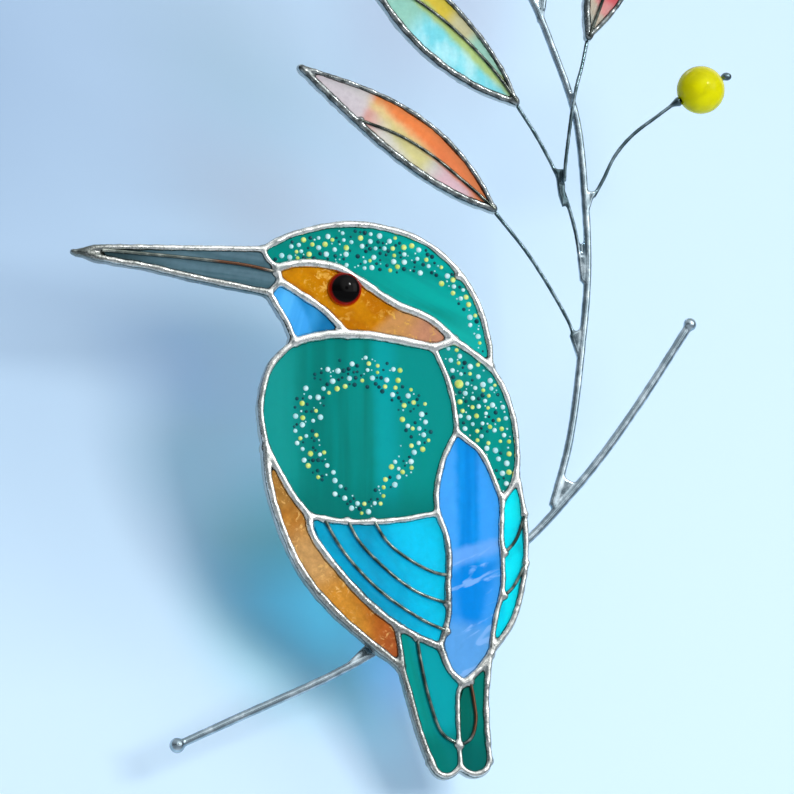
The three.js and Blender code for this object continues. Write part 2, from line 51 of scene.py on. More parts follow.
# The photograph's view, nearly square on and a little from the left and from below
view = {
    "target": (-6.7, -4.25, -140.7),  # mm, what the middle of the picture looks at
    "azimuth": -12,
    "elevation": -9,
    "distance": 8000,
    "frameWidth": 198.46,
    "pixels": 794,
    "sensor": 36,
    "clip": (0.1, 30),  # metres
}

# The pattern sheet: u runs right and v runs up, in mm. spread, rise and lean stand it square on.
sheet = {
    "hangingEye": (105, 233.5),
    "eyeHoleRadius": 4,
    "spread": 1.022,
    "rise": 1.0125,
    "lean": 0.034,
    "birdForward": 4.25,
    "birdSlide": (-1.3, -0.95),
    "glassFront": 1.5,  # from the middle of a pane to its face
}
birdDepth = -sheet["birdForward"]  # y in the middle of the bird's glass and on its face
birdFace = birdDepth - sheet["glassFront"]


def viewAxes():
    a, e = math.radians(view["azimuth"]), math.radians(view["elevation"])
    right = Vector((math.cos(a), math.sin(a), 0))
    back = Vector((math.sin(a) * math.cos(e), -math.cos(a) * math.cos(e), math.sin(e)))
    return right, back.cross(right), back


def throughPixel(px, py, depth):
    # the point at that pixel of the photograph with y = depth, in mm, for rays that run side by side
    right, up, back = viewAxes()
    perPixel = view["frameWidth"] / view["pixels"]
    middle = view["pixels"] / 2
    across, down = px - middle, py - middle
    point = Vector(view["target"]) + right * across * perPixel - up * down * perPixel
    return point - back * ((point.y - depth) / back.y)


def place(u, v, forward=0, onBird=False):
    # a point of the pattern sheet, in the row frame, in mm
    du, dv = u - sheet["hangingEye"][0], v - sheet["hangingEye"][1]
    x = sheet["spread"] * du
    z = sheet["rise"] * dv + sheet["lean"] * du - sheet["eyeHoleRadius"]
    if onBird:
        x += sheet["birdSlide"][0]
        z += sheet["birdSlide"][1]
        forward += sheet["birdForward"]
    return Vector((x, -forward, z))


def between(p, q, low, high, t):
    return p + (q - p) * ((t - low) / (high - low))


def smoothRoute(points, step):
    # a centripetal Catmull-Rom curve through the points, with a point about every step
    ends = [2 * points[0] - points[1], *points, 2 * points[-1] - points[-2]]
    route = []
    for four in zip(ends, ends[1:], ends[2:], ends[3:]):
        knots = [0.0]
        for p, q in zip(four, four[1:]):
            knots.append(knots[-1] + max((q - p).length, 1e-6) ** 0.5)
        count = max(2, round((four[2] - four[1]).length / step))
        for i in range(count):
            t = knots[1] + (knots[2] - knots[1]) * i / count
            first = [between(four[j], four[j + 1], knots[j], knots[j + 1], t) for j in range(3)]
            second = [between(first[j], first[j + 1], knots[j], knots[j + 2], t) for j in range(2)]
            route.append(between(second[0], second[1], knots[1], knots[2], t))
    return [*route, points[-1].copy()]


def pick(*pieces):
    # selects these pieces and nothing else
    if bpy.context.object and bpy.context.object.mode != "OBJECT":
        bpy.ops.object.mode_set(mode="OBJECT")
    bpy.ops.object.select_all(action="DESELECT")
    for piece in pieces:
        piece.select_set(True)
    if pieces:
        bpy.context.view_layer.objects.active = pieces[0]


def settle(piece):
    # the object's place goes into its mesh
    pick(piece)
    bpy.ops.object.transform_apply(location=True, rotation=True, scale=True)


def joined(name, pieces):
    pick(*pieces)
    if len(pieces) > 1:
        bpy.ops.object.join()
    piece = bpy.context.object
    piece.name = piece.data.name = name
    return piece


def modified(piece, kind, **settings):
    # adds a modifier and applies it at once
    modifier = piece.modifiers.new(kind.lower(), kind)
    for setting, value in settings.items():
        setattr(modifier, setting, value)
    pick(piece)
    bpy.ops.object.modifier_apply(modifier=modifier.name)


def remeshed(piece, voxel):
    modified(piece, "REMESH", mode="VOXEL", voxel_size=voxel * mm, use_smooth_shade=True)


def swollen(piece, amount):
    modified(piece, "DISPLACE", strength=amount * mm, mid_level=0)


def smoothed(piece, times):
    modified(piece, "SMOOTH", iterations=times)


def rippled(piece, ripples, seed):
    # pushes each point in or out by noise: ripples are pairs of wavelength and height in mm
    mesh = piece.data
    shift = Vector((seed * 7.3, seed * 3.1, seed * 5.7))  # another part of the noise for each piece
    normals = [vertex.normal.copy() for vertex in mesh.vertices]
    for vertex, normal in zip(mesh.vertices, normals):
        spots = [(vertex.co / (wave * mm) + shift, height) for wave, height in ripples]
        push = sum(height * noise.noise(spot) for spot, height in spots)
        vertex.co += normal * push * mm
    mesh.update()


def ball(centre, radius, squash=(1, 1, 1), segments=20):
    pick()
    bpy.ops.mesh.primitive_uv_sphere_add(
        segments=segments, ring_count=segments // 2, radius=radius * mm,
        location=centre * mm, scale=squash,
    )
    piece = bpy.context.object
    settle(piece)
    return piece


def dome(radius, height, centre, segments, rings, sharpFrom):
    # half a ball that bulges to the front, with a flat foot; edges are sharp from that angle
    pick()
    bpy.ops.mesh.primitive_uv_sphere_add(segments=segments, ring_count=rings, radius=radius * mm)
    piece = bpy.context.object
    bpy.ops.object.mode_set(mode="EDIT")
    bpy.ops.mesh.select_all(action="SELECT")
    bpy.ops.mesh.bisect(plane_co=(0, 0, 0), plane_no=(0, 0, 1), clear_inner=True, use_fill=True)
    bpy.ops.object.mode_set(mode="OBJECT")
    piece.rotation_euler.x = math.pi / 2
    piece.scale = (1, 1, height / radius)
    piece.location = centre * mm
    settle(piece)
    bpy.ops.object.shade_smooth_by_angle(angle=math.radians(sharpFrom))
    return piece


def newCurve(routes, flat):
    # routes are lists of (point in mm, swelling); a flat curve is drawn in XY and stood up later
    curve = bpy.data.curves.new("line", "CURVE")
    curve.dimensions = "2D" if flat else "3D"
    curve.use_fill_caps = not flat
    curve.resolution_u = 1
    for route in routes:
        spline = curve.splines.new("POLY")
        spline.points.add(len(route) - 1)
        for point, (co, swelling) in zip(spline.points, route):
            point.co = (co.x * mm, co.z * mm, 0, 1) if flat else (*(co * mm), 1)
            point.radius = swelling
    line = bpy.data.objects.new("line", curve)
    bpy.context.collection.objects.link(line)
    return line


def asMesh(line):
    pick(line)
    bpy.ops.object.convert(target="MESH")
    return bpy.context.object


def uneven(route, seed, amount, wave):
    # how much a hand-made line swells and thins along its length
    return [(p, 1 + amount * noise.noise(p / wave + Vector((seed, 2.3 * seed, 0)))) for p in route]


def roundWire(route, radius, seed, amount, wave=3.0):
    line = newCurve([uneven(route, seed, amount, wave)], flat=False)
    line.data.bevel_depth = radius * mm
    line.data.bevel_resolution = 3
    return asMesh(line)


def domedSection(halfWidth, crest, power=2.7, corners=28):
    # the outline of a line of solder cut across, rounder than a box and fuller than an ellipse
    points = []
    for i in range(corners):
        turn = 2 * math.pi * i / corners
        across, along = math.cos(turn), math.sin(turn)
        x = math.copysign(abs(across) ** (2 / power), across) * halfWidth
        z = math.copysign(abs(along) ** (2 / power), along) * crest
        points.append((Vector((x, 0, z)), 1))
    return points


def solderLine(route, width, crest, depth, seed, amount=0.1, wave=2.6, taper=None):
    # a domed line of solder of that width, standing crest above the middle of the glass
    section = newCurve([domedSection(width / 2, crest)], flat=True)
    section.data.splines[0].use_cyclic_u = True
    points = uneven(route, seed, amount, wave)
    if taper:
        first, reach = taper
        points = [
            (p, swelling * min(1, first + (1 - first) * (p - route[0]).length / reach))
            for p, swelling in points
        ]
    line = newCurve([points], flat=True)
    line.data.bevel_mode = "OBJECT"
    line.data.bevel_object = section
    line.data.use_fill_caps = True
    line.rotation_euler.x = math.pi / 2
    line.location.y = depth * mm
    piece = asMesh(line)
    bpy.data.objects.remove(section)
    settle(piece)
    return piece


def finished(piece, name, material, slot, *replaced):
    piece.name = piece.data.name = name
    piece.data.materials.clear()
    piece.data.materials.append(material)
    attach(piece, "root")
    if replaced:
        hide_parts(*replaced)
    print(name, len(piece.data.polygons), "faces")


def newMaterial(name):
    material = bpy.data.materials.new(name)
    material.use_nodes = True
    material.node_tree.nodes.clear()
    return material, material.node_tree


def addNode(tree, kind, inputs=None, **settings):
    made = tree.nodes.new(kind if kind.startswith("NodeGroup") else "ShaderNode" + kind)
    for setting, value in settings.items():
        setattr(made, setting, value)
    for socket, value in (inputs or {}).items():
        if isinstance(value, bpy.types.NodeSocket):
            tree.links.new(value, made.inputs[socket])
        else:
            made.inputs[socket].default_value = value
    return made


def output(material, shader):
    addNode(material.node_tree, "OutputMaterial", {"Surface": shader.outputs[0]})
    return material


def calc(tree, operation, a, b=0.0):
    return addNode(tree, "Math", {0: a, 1: b}, operation=operation).outputs[0]


def plus(tree, a, b):
    return calc(tree, "ADD", a, b)


def minus(tree, a, b):
    return calc(tree, "SUBTRACT", a, b)


def times(tree, a, b):
    return calc(tree, "MULTIPLY", a, b)


def vectorOf(tree, x=0.0, y=0.0, z=0.0):
    return addNode(tree, "CombineXYZ", {"X": x, "Y": y, "Z": z}).outputs[0]


def partsOf(tree, vector):
    return addNode(tree, "SeparateXYZ", {0: vector}).outputs


def dotProduct(tree, a, b):
    return addNode(tree, "VectorMath", {0: a, 1: b}, operation="DOT_PRODUCT").outputs["Value"]


def cloud(tree, vector, scale, detail=2.0, distortion=0.0, roughness=0.5):
    # soft noise from 0 to 1
    return addNode(tree, "TexNoise", {
        "Vector": vector, "Scale": scale, "Detail": detail, "Distortion": distortion,
        "Roughness": roughness,
    }).outputs["Fac"]


def mixed(tree, factor, a, b, blend="MIX"):
    return addNode(
        tree, "Mix", {0: factor, 6: a, 7: b}, data_type="RGBA", blend_type=blend,
    ).outputs[2]


def band(tree, value, low, high, outLow=0.0, outHigh=1.0, smooth=True):
    # 0 up to low and 1 from high on, or other values at the two ends
    return addNode(
        tree, "MapRange",
        {"Value": value, "From Min": low, "From Max": high, "To Min": outLow, "To Max": outHigh},
        interpolation_type="SMOOTHSTEP" if smooth else "LINEAR",
    ).outputs["Result"]


def inMillimetres(tree, turn=0):
    # Object coordinates in mm, turned about Y by that many degrees for a pattern
    return addNode(tree, "Mapping", {
        "Vector": addNode(tree, "TexCoord").outputs["Object"],
        "Rotation": (0, math.radians(turn), 0),
        "Scale": (1 / mm, 1 / mm, 1 / mm),
    }).outputs["Vector"]


def distanceFrom(tree, x, z):
    # how far a point of the surface is from x and z, in mm, seen along Y
    parts = partsOf(tree, inMillimetres(tree))
    flat = vectorOf(tree, x=minus(tree, parts["X"], x), z=minus(tree, parts["Z"], z))
    return addNode(tree, "VectorMath", {0: flat}, operation="LENGTH").outputs["Value"]


def colour(r, g, b):
    # from screen values of 0 to 255 to the linear values that a shader takes
    out = []
    for value in (r, g, b):
        value /= 255
        out.append(value / 12.92 if value <= 0.04045 else ((value + 0.055) / 1.055) ** 2.4)
    return (*out, 1)


def newGroup(name, inputs, outputs):
    # an input's value is the kind of its socket, or the number that it starts with
    group = bpy.data.node_groups.new(name, "ShaderNodeTree")
    for title, value in inputs.items():
        kind = value if isinstance(value, str) else "Float"
        socket = group.interface.new_socket(title, in_out="INPUT", socket_type="NodeSocket" + kind)
        if kind == "Float":
            socket.default_value = value
    for title, kind in outputs.items():
        group.interface.new_socket(title, in_out="OUTPUT", socket_type="NodeSocket" + kind)
    start = addNode(group, "NodeGroupInput")
    end = addNode(group, "NodeGroupOutput")
    return group, start.outputs, end.inputs


def putOut(group, wanted, results):
    for title, result in results.items():
        group.links.new(result, wanted[title])
    return group


# The pattern of rolled sheet glass: sizes in mm, and where a mask made of noise starts and is full
rolledGlass = {
    "streakMask": (0.34, 0.66),
    "streakNoise": (1.0, 1.0, 0.4),  # scale, detail and distortion of the noise
    "thinStreakNoise": (3.7, 2.0, 0.2),
    "thinStreaks": 0.4,
    "strokeSize": (2.6, 11.0),
    "strokeNoise": (1.0, 3.0, 0.9, 0.45),  # and its roughness
    "strokeMask": (0.56, 0.66),
    "fleckNoise": (3.0, 0.8, 0.6),  # detail, distortion and roughness
    "fleckMask": (0.53, 0.68),
    "patchScale": 0.16,
    "patchMask": (0.38, 0.6),  # flecks gather where this is full
    "mottleNoise": (0.6, 5.0, 0.0, 0.68),
    "waveSize": (5.0, 9.0),
    "grainScale": 1.1,
    "grain": 0.18,
}


def streakyGlassGroup():
    # rolled sheet glass: long streaks between two colours, soft strokes of a paler one, and flecks
    look = rolledGlass
    group, given, wanted = newGroup(
        "streaky sheet glass",
        {
            "Vector": "Vector", "Stroke Vector": "Vector", "Dark": "Color", "Light": "Color",
            "Streak Width": 4.0, "Streak Length": 60.0, "Strokes": 0.0, "Flecks": 0.0,
            "Fleck Size": 1.5, "Mottle": 0.1,
        },
        {"Color": "Color", "Pale Places": "Float", "Height": "Float", "Shade": "Color"},
    )

    def stretched(vector, wide, long):
        parts = partsOf(group, vector)
        return vectorOf(
            group, x=calc(group, "DIVIDE", parts["X"], wide), z=calc(group, "DIVIDE", parts["Z"], long),
        )

    long = stretched(given["Vector"], given["Streak Width"], given["Streak Length"])
    thin = minus(group, cloud(group, long, *look["thinStreakNoise"]), 0.5)
    streak = plus(
        group, cloud(group, long, *look["streakNoise"]), times(group, thin, look["thinStreaks"]),
    )
    base = mixed(group, band(group, streak, *look["streakMask"]), given["Dark"], given["Light"])
    drawn = stretched(given["Stroke Vector"], *look["strokeSize"])
    strokes = band(group, cloud(group, drawn, *look["strokeNoise"]), *look["strokeMask"])
    strokes = times(group, strokes, given["Strokes"])
    fleckScale = calc(group, "DIVIDE", 1.0, given["Fleck Size"])
    specks = cloud(group, given["Vector"], fleckScale, *look["fleckNoise"])
    patches = band(group, cloud(group, given["Vector"], look["patchScale"], 1.0), *look["patchMask"])
    flecks = times(group, band(group, specks, *look["fleckMask"]), patches)
    flecks = times(group, flecks, given["Flecks"])
    mottle = minus(group, cloud(group, given["Vector"], *look["mottleNoise"]), 0.5)
    shade = plus(group, times(group, mottle, given["Mottle"]), 1.0)
    shade = vectorOf(group, shade, shade, shade)
    wave = stretched(given["Vector"], *look["waveSize"])
    grain = times(group, cloud(group, given["Vector"], look["grainScale"]), look["grain"])
    return putOut(group, wanted, {
        "Color": mixed(group, 1.0, base, shade, "MULTIPLY"),
        "Shade": shade,
        "Pale Places": calc(group, "MAXIMUM", strokes, flecks),
        "Height": plus(group, cloud(group, wave, 1.0, 1.0), grain),
    })


areaEdgeNoise = (0.35, 3.0)  # scale and detail
roughPatches = (0.3, 0.7)  # between these the patches' noise goes from smoothest to roughest
grainDetail = 5.0


def areaEdgeGroup():
    # 0 up to the start and 1 from the end on along one direction, with edges that wander a little
    group, given, wanted = newGroup(
        "edge of an area",
        {"Vector": "Vector", "Direction": "Vector", "Start": 0.0, "End": 1.0, "Wander": 1.5},
        {"Mask": "Float"},
    )
    wander = minus(group, cloud(group, given["Vector"], *areaEdgeNoise), 0.5)
    along = dotProduct(group, given["Vector"], given["Direction"])
    along = plus(group, along, times(group, wander, given["Wander"]))
    return putOut(group, wanted, {"Mask": band(group, along, given["Start"], given["End"])})


def patchyMetalGroup():
    # patches where a metal is worn and rougher, and a fine grain
    group, given, wanted = newGroup(
        "patchy metal",
        {
            "Vector": "Vector", "Patch Scale": 0.5, "Patch Detail": 4.0, "Worn From": 0.35,
            "Worn To": 0.7, "Smoothest": 0.14, "Roughest": 0.3, "Grain Scale": 2.2,
        },
        {"Worn": "Float", "Roughness": "Float", "Grain": "Float"},
    )
    patches = cloud(group, given["Vector"], given["Patch Scale"], given["Patch Detail"])
    return putOut(group, wanted, {
        "Worn": band(group, patches, given["Worn From"], given["Worn To"]),
        "Roughness": band(group, patches, *roughPatches, given["Smoothest"], given["Roughest"]),
        "Grain": cloud(group, given["Vector"], given["Grain Scale"], grainDetail),
    })


streakyGlass = streakyGlassGroup()
areaEdge = areaEdgeGroup()
patchyMetal = patchyMetalGroup()

# The panes: dark and light are the streaks, pale the strokes and flecks, through how clear the glass
# is, and thrown what it throws on the wall, if not its own colour. Areas are broad changes of colour:
# a tint, then the pixels of the photograph where it starts and is full, for one direction or two.
irisGlass = {"width": 7, "length": 14, "through": 0.4, "ripple": 0.4, "mottle": 0.45, "wobble": 2.5}
teal = {"dark": (0, 130, 123), "light": (0, 158, 152), "through": 0.15, "width": 5, "length": 90}
glassPanes = {
    "crown_glass": {
        **teal, "dark": (0, 146, 138), "light": (0, 172, 166), "turn": 64, "length": 60,
        "areas": [
            ((0, 134, 124), (440, 235), (300, 245)), ((14, 176, 170), (425, 320), (478, 350)),
        ],
    },
    "back_glass": {
        **teal, "dark": (0, 122, 115), "light": (0, 142, 136), "width": 6,
        "areas": [
            ((20, 156, 152), (312, 400), (276, 400)), ((0, 163, 170), (368, 420), (381, 420)),
            ((0, 142, 136), (386, 420), (404, 420)), ((0, 116, 110), (360, 470), (360, 520)),
        ],
    },
    "shoulder_glass": {
        **teal, "dark": (0, 120, 110), "light": (0, 150, 142),
        "areas": [((14, 152, 146), (472, 410), (488, 380))],
    },
    "tail_left_glass": {
        **teal, "dark": (0, 134, 128), "light": (0, 152, 146), "turn": 14, "width": 4,
        "areas": [((0, 164, 178), (421, 700), (432, 697)), ((0, 116, 108), (437, 722), (439, 748))],
    },
    "tail_right_glass": {
        **teal, "dark": (0, 104, 92), "light": (0, 126, 116), "width": 4,
        "areas": [((0, 98, 94), (478, 715), (478, 760))],
    },
    "eye_patch_glass": {
        "dark": (186, 110, 0), "light": (204, 134, 4), "pale": (236, 188, 84), "flecks": 0.85,
        "fleckSize": 1.7, "mottle": 0.7, "width": 6, "length": 14, "turn": 50, "through": 0.1,
        "thrown": (120, 176, 204),
        "areas": [
            ((200, 146, 92), (382, 316), (389, 324)), ((192, 134, 108), (404, 322), (424, 330)),
        ],
    },
    "belly_glass": {
        "dark": (176, 112, 40), "light": (200, 142, 66), "pale": (236, 188, 112), "flecks": 0.9,
        "fleckSize": 1.2, "mottle": 1.1, "width": 5, "length": 20, "turn": -35, "through": 0.1,
        "thrown": (40, 172, 198),
        "areas": [
            ((164, 116, 54), (292, 520), (282, 498)),
            ((200, 154, 98), (296, 516), (312, 548)), ((204, 134, 32), (322, 566), (340, 592)),
            ((176, 88, 26), (352, 612), (372, 604)), ((168, 84, 42), (362, 622), (392, 646)),
        ],
    },
    "throat_glass": {
        "dark": (64, 166, 236), "light": (86, 186, 250), "width": 4, "length": 80, "turn": -16,
        "through": 0.15,
        "areas": [
            ((34, 138, 204), (299, 312), (306, 308)), ((52, 154, 216), (306, 318), (312, 318)),
            ((14, 112, 168), (312, 314), (326, 320)),
        ],
    },
    "centre_feather_glass": {
        "dark": (0, 130, 218), "light": (12, 150, 232), "pale": (134, 184, 242), "strokes": 0.8,
        "strokeTurn": -62,
        "strokesBelow": (470, 540, 566),  # pixel x, and the two y where the strokes start and are full
        "width": 4.5, "length": 90, "through": 0.1, "mottle": 0.25,
        "areas": [
            ((72, 166, 244), (461, 520), (452, 520)), ((62, 160, 242), (472, 470), (481, 470)),
            ((104, 168, 240), (466, 543), (468, 550), (474, 566), (471, 557)),
            ((0, 134, 224), (470, 562), (473, 572)),
            ((50, 150, 232), (458, 590), (448, 592)), ((60, 156, 236), (484, 585), (494, 588)),
            ((96, 164, 226), (470, 616), (467, 634)),
        ],
    },
    "wing_glass": {
        "dark": (0, 160, 196), "light": (0, 184, 222), "width": 9, "length": 26, "turn": 30,
        "through": 0.4, "ripple": 0.45, "mottle": 0.45,
        "areas": [((0, 214, 246), (372, 568), (418, 552)), ((0, 150, 178), (352, 582), (334, 594))],
    },
    "far_wing_glass": {
        "dark": (0, 208, 230), "light": (0, 236, 248), "width": 5, "length": 26, "through": 0.5,
        "ripple": 0.45, "mottle": 0.3,
        "areas": [((0, 244, 250), (512, 530), (508, 512))],
    },
    "beak_glass": {
        "dark": (68, 100, 112), "light": (88, 118, 132), "width": 2.2, "length": 40, "turn": 84,
        "through": 0.1, "mottle": 0.5, "areas": [((40, 60, 64), (185, 258), (110, 252))],
    },
    # iridescent glass, from its plain colour to bands along the leaf
    "leaf_1_glass": {
        **irisGlass, "dark": (212, 212, 204), "light": (230, 226, 220),
        "areas": [
            ((226, 166, 158), (372, 150), (352, 134)),
            ((220, 212, 138), (396, 156), (408, 148), (432, 172), (420, 160)),
            ((230, 192, 204), (430, 164), (446, 176)),
            ((232, 150, 96), (462, 194), (476, 202)),
            ((234, 210, 152), (380, 122), (387, 113)),
            ((246, 128, 58), (385, 118), (393, 109)),
            ((232, 136, 84), (418, 130), (446, 156), (408, 136), (414, 130)),
            ((214, 212, 218), (372, 108), (362, 103)),
            ((222, 190, 200), (346, 118), (336, 124)),
        ],
    },
    "leaf_2_glass": {
        **irisGlass, "dark": (134, 220, 232), "light": (192, 240, 246), "wobble": 1.5,
        "areas": [
            ((160, 208, 188), (424, 30), (408, 14)),
            ((196, 212, 110), (465, 58), (470, 53)),
            ((214, 190, 88), (466, 47), (471, 42), (486, 72), (462, 48)),
            ((226, 202, 70), (465, 44), (468, 41)),
            ((208, 204, 172), (466, 43), (468, 41), (440, 15), (452, 28)),
            ((160, 220, 206), (466, 43), (468, 41), (468, 30), (480, 42)),
        ],
    },
    "leaf_3_glass": {
        **irisGlass, "dark": (196, 206, 196), "light": (206, 188, 166),
        "areas": [
            ((226, 150, 150), (597, 10), (602, 8)), ((216, 88, 98), (606, 8), (614, 0)),
            ((204, 182, 160), (592, 20), (591, 30)),
        ],
    },
}
# What every pane has, unless its own entry says otherwise
plainPane = {
    "flecks": 0, "fleckSize": 1.5, "mottle": 0.1, "turn": 0, "strokes": 0, "strokeTurn": 0,
    "wobble": 1.5,  # mm that the edge of an area wanders
    "ripple": 0.15, "rippleHeight": 0.5,
    "cover": 0.85,  # how much of the streaks' tint an area takes away
    "roughness": 0.1, "ior": 1.5, "specular": 0.08,
    "thrownGamma": 0.6,  # light comes through paler than the glass looks
}


def areaMask(tree, depth, fromPixel, toPixel, wander):
    # an area of a piece whose middle or face is at y = depth: 0 before one pixel, 1 past the other
    start, end = throughPixel(*fromPixel, depth), throughPixel(*toPixel, depth)
    run = Vector((end.x - start.x, 0, end.z - start.z))
    unit = run.normalized()
    first = start.dot(unit)
    return addNode(tree, "Group", {
        "Vector": inMillimetres(tree), "Direction": unit, "Start": first, "End": first + run.length,
        "Wander": wander,
    }, node_tree=areaEdge).outputs["Mask"]


def glassMaterial(name, look, depth):
    material, tree = newMaterial(name)
    pattern = addNode(tree, "Group", {
        "Dark": colour(*look["dark"]), "Light": colour(*look["light"]),
        "Streak Width": look["width"], "Streak Length": look["length"],
        "Flecks": look["flecks"], "Fleck Size": look["fleckSize"], "Mottle": look["mottle"],
        "Vector": inMillimetres(tree, look["turn"]),
        "Stroke Vector": inMillimetres(tree, look["strokeTurn"]),
    }, node_tree=streakyGlass)
    if look["strokes"]:
        px, top, full = look["strokesBelow"]
        below = areaMask(tree, depth, (px, top), (px, full), 1)
        tree.links.new(times(tree, below, look["strokes"]), pattern.inputs["Strokes"])
    tint = pattern.outputs["Color"]
    for areaTint, *pixels in look.get("areas", []):
        mask = areaMask(tree, depth, *pixels[:2], look["wobble"])
        if len(pixels) > 2:
            mask = times(tree, mask, areaMask(tree, depth, *pixels[2:], 1))
        shaded = mixed(tree, 1.0, colour(*areaTint), pattern.outputs["Shade"], "MULTIPLY")
        tint = mixed(tree, mask, tint, mixed(tree, look["cover"], tint, shaded))
    pale = colour(*look.get("pale", look["light"]))
    tint = mixed(tree, pattern.outputs["Pale Places"], tint, pale)
    bump = addNode(tree, "Bump", {
        "Strength": look["ripple"], "Distance": look["rippleHeight"] * mm,
        "Height": pattern.outputs["Height"],
    })
    shader = addNode(tree, "BsdfPrincipled", {
        "Base Color": tint, "Roughness": look["roughness"], "IOR": look["ior"],
        "Specular IOR Level": look["specular"], "Transmission Weight": look["through"],
        "Normal": bump.outputs["Normal"],
    })
    if "thrown" in look:
        thrown = colour(*look["thrown"])
    else:
        thrown = addNode(tree, "Gamma", {"Color": tint, "Gamma": look["thrownGamma"]}).outputs[0]
    clear = addNode(tree, "BsdfTransparent", {"Color": thrown})
    shadow = addNode(tree, "LightPath").outputs["Is Shadow Ray"]
    blend = addNode(tree, "MixShader", {0: shadow, 1: shader.outputs[0], 2: clear.outputs[0]})
    return output(material, blend)


for nodeName, look in glassPanes.items():
    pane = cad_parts[nodeName]
    depth = 0 if nodeName.startswith("leaf") else birdDepth
    glass = glassMaterial(nodeName.replace("_", " "), {**plainPane, **look}, depth)
    pane.data.materials.clear()
    pane.data.materials.append(glass)
print("glass panes:", len(glassPanes))

# Solder and wire: a group's own inputs, then heights in mm from the middle of the glass, masks of noise
# with where they start and are full, and tints
solderLook = {
    "patchy": {
        "Patch Scale": 0.5, "Patch Detail": 4.0, "Worn From": 0.35, "Worn To": 0.7,
        "Smoothest": 0.14, "Roughest": 0.3, "Grain Scale": 2.2,
    },
    "crest": (1.68, 2.02),  # the bright crest starts and is full at these heights
    "crestWander": 0.15, "wanderMask": (0.3, 0.7),
    # painted shade below the crest: dark at the foot where the solder meets the glass, grey on a rim's
    # outer side
    "foot": (1.3, 1.55), "footShadeTint": (44, 52, 50),  # dark where it meets the glass
    "sideShadeTint": (178, 184, 182),  # the outer side of a rim, below the foot
    "pitNoise": (0.14, 2.0), "pitMask": (0.53, 0.66), "pitPlaces": (0.38, 0.58),
    "pits": 0.55, "pitTint": (84, 88, 82),
    # solder painted darker in given places, beside the wing as painted shade
    "darkerTint": (104, 110, 106), "darkerMask": (0.42, 0.58, 0.55, 1.0), "darkerWander": (6, 2),
    "bump": (0.25, 0.12),  # strength, and height in mm
}
wireLook = {
    "patchy": {
        "Patch Scale": 0.35, "Patch Detail": 5.0, "Worn From": 0.4, "Worn To": 0.68,
        "Smoothest": 0.12, "Roughest": 0.22, "Grain Scale": 2.5,
    },
    "copper": (112, 78, 60), "copperWander": 3,
    "bump": (0.2, 0.1),
}


def newMetal(name, look):
    material, tree = newMaterial(name)
    vector = inMillimetres(tree)
    inputs = {"Vector": vector, **look["patchy"]}
    patchy = addNode(tree, "Group", inputs, node_tree=patchyMetal).outputs
    return material, tree, vector, patchy


def finishedMetal(material, tint, patchy, look):
    tree = material.node_tree
    strength, height = look["bump"]
    bump = addNode(tree, "Bump", {
        "Strength": strength, "Distance": height * mm, "Height": patchy["Grain"],
    })
    return output(material, addNode(tree, "BsdfPrincipled", {
        "Base Color": tint, "Metallic": 1.0, "Roughness": patchy["Roughness"],
        "Normal": bump.outputs["Normal"],
    }))


def solderMaterial(name, depth, bright, worn, darkerPlaces=()):
    # painted light and shade: bright on its crest, and painted shade below it, grey on a rim's outer
    # side and dark at its foot; depth is y in the middle of the glass
    look = solderLook
    material, tree, vector, patchy = newMetal(name, look)
    grain = patchy["Grain"]
    height = calc(tree, "ABSOLUTE", minus(tree, partsOf(tree, vector)["Y"], depth))
    tint = mixed(tree, patchy["Worn"], colour(*bright), colour(*worn))
    wander = band(tree, grain, *look["wanderMask"], -look["crestWander"], look["crestWander"])
    crest = band(tree, plus(tree, height, wander), *look["crest"])
    foot = band(tree, height, *look["foot"])
    # painted shade below the crest: grey on a rim's outer side and dark at its foot
    below = mixed(tree, foot, colour(*look["sideShadeTint"]), colour(*look["footShadeTint"]))
    tint = mixed(tree, crest, below, tint)
    pitPlaces = band(tree, cloud(tree, vector, *look["pitNoise"]), *look["pitPlaces"])
    pits = times(tree, band(tree, grain, *look["pitMask"]), pitPlaces)
    tint = mixed(tree, times(tree, pits, look["pits"]), tint, colour(*look["pitTint"]))
    # darker in the given places; beside the wing this is painted shade
    for amount, *pixels in darkerPlaces:
        wide, narrow = look["darkerWander"]
        where = times(tree, areaMask(tree, depth, *pixels[:2], wide), amount)
        if len(pixels) > 2:
            where = times(tree, where, areaMask(tree, depth, *pixels[2:], narrow))
        blotch = band(tree, grain, *look["darkerMask"])
        tint = mixed(tree, times(tree, where, blotch), tint, colour(*look["darkerTint"]))
    return finishedMetal(material, tint, patchy, look)


def wireMaterial(name, dark, light, bareBetween=None, thin=None):
    # tinned wire, bare copper between two pixels of the photograph where the tin is worn, and dark and
    # light tints of its own where the mesh is marked as thin
    look = wireLook
    material, tree, _, patchy = newMetal(name, look)
    worn = patchy["Worn"]
    tint = mixed(tree, worn, colour(*dark), colour(*light))
    if thin:
        marked = addNode(tree, "Attribute", attribute_name="thin").outputs["Fac"]
        tint = mixed(tree, marked, tint, mixed(tree, worn, colour(*thin[0]), colour(*thin[1])))
    if bareBetween:
        start, end, fade = bareBetween
        wander = look["copperWander"]
        past = areaMask(tree, birdFace, start, [p + f for p, f in zip(start, fade)], wander)
        before = areaMask(tree, birdFace, end, [p - f for p, f in zip(end, fade)], wander)
        tint = mixed(tree, times(tree, past, before), tint, colour(*look["copper"]))
    return finishedMetal(material, tint, patchy, look)


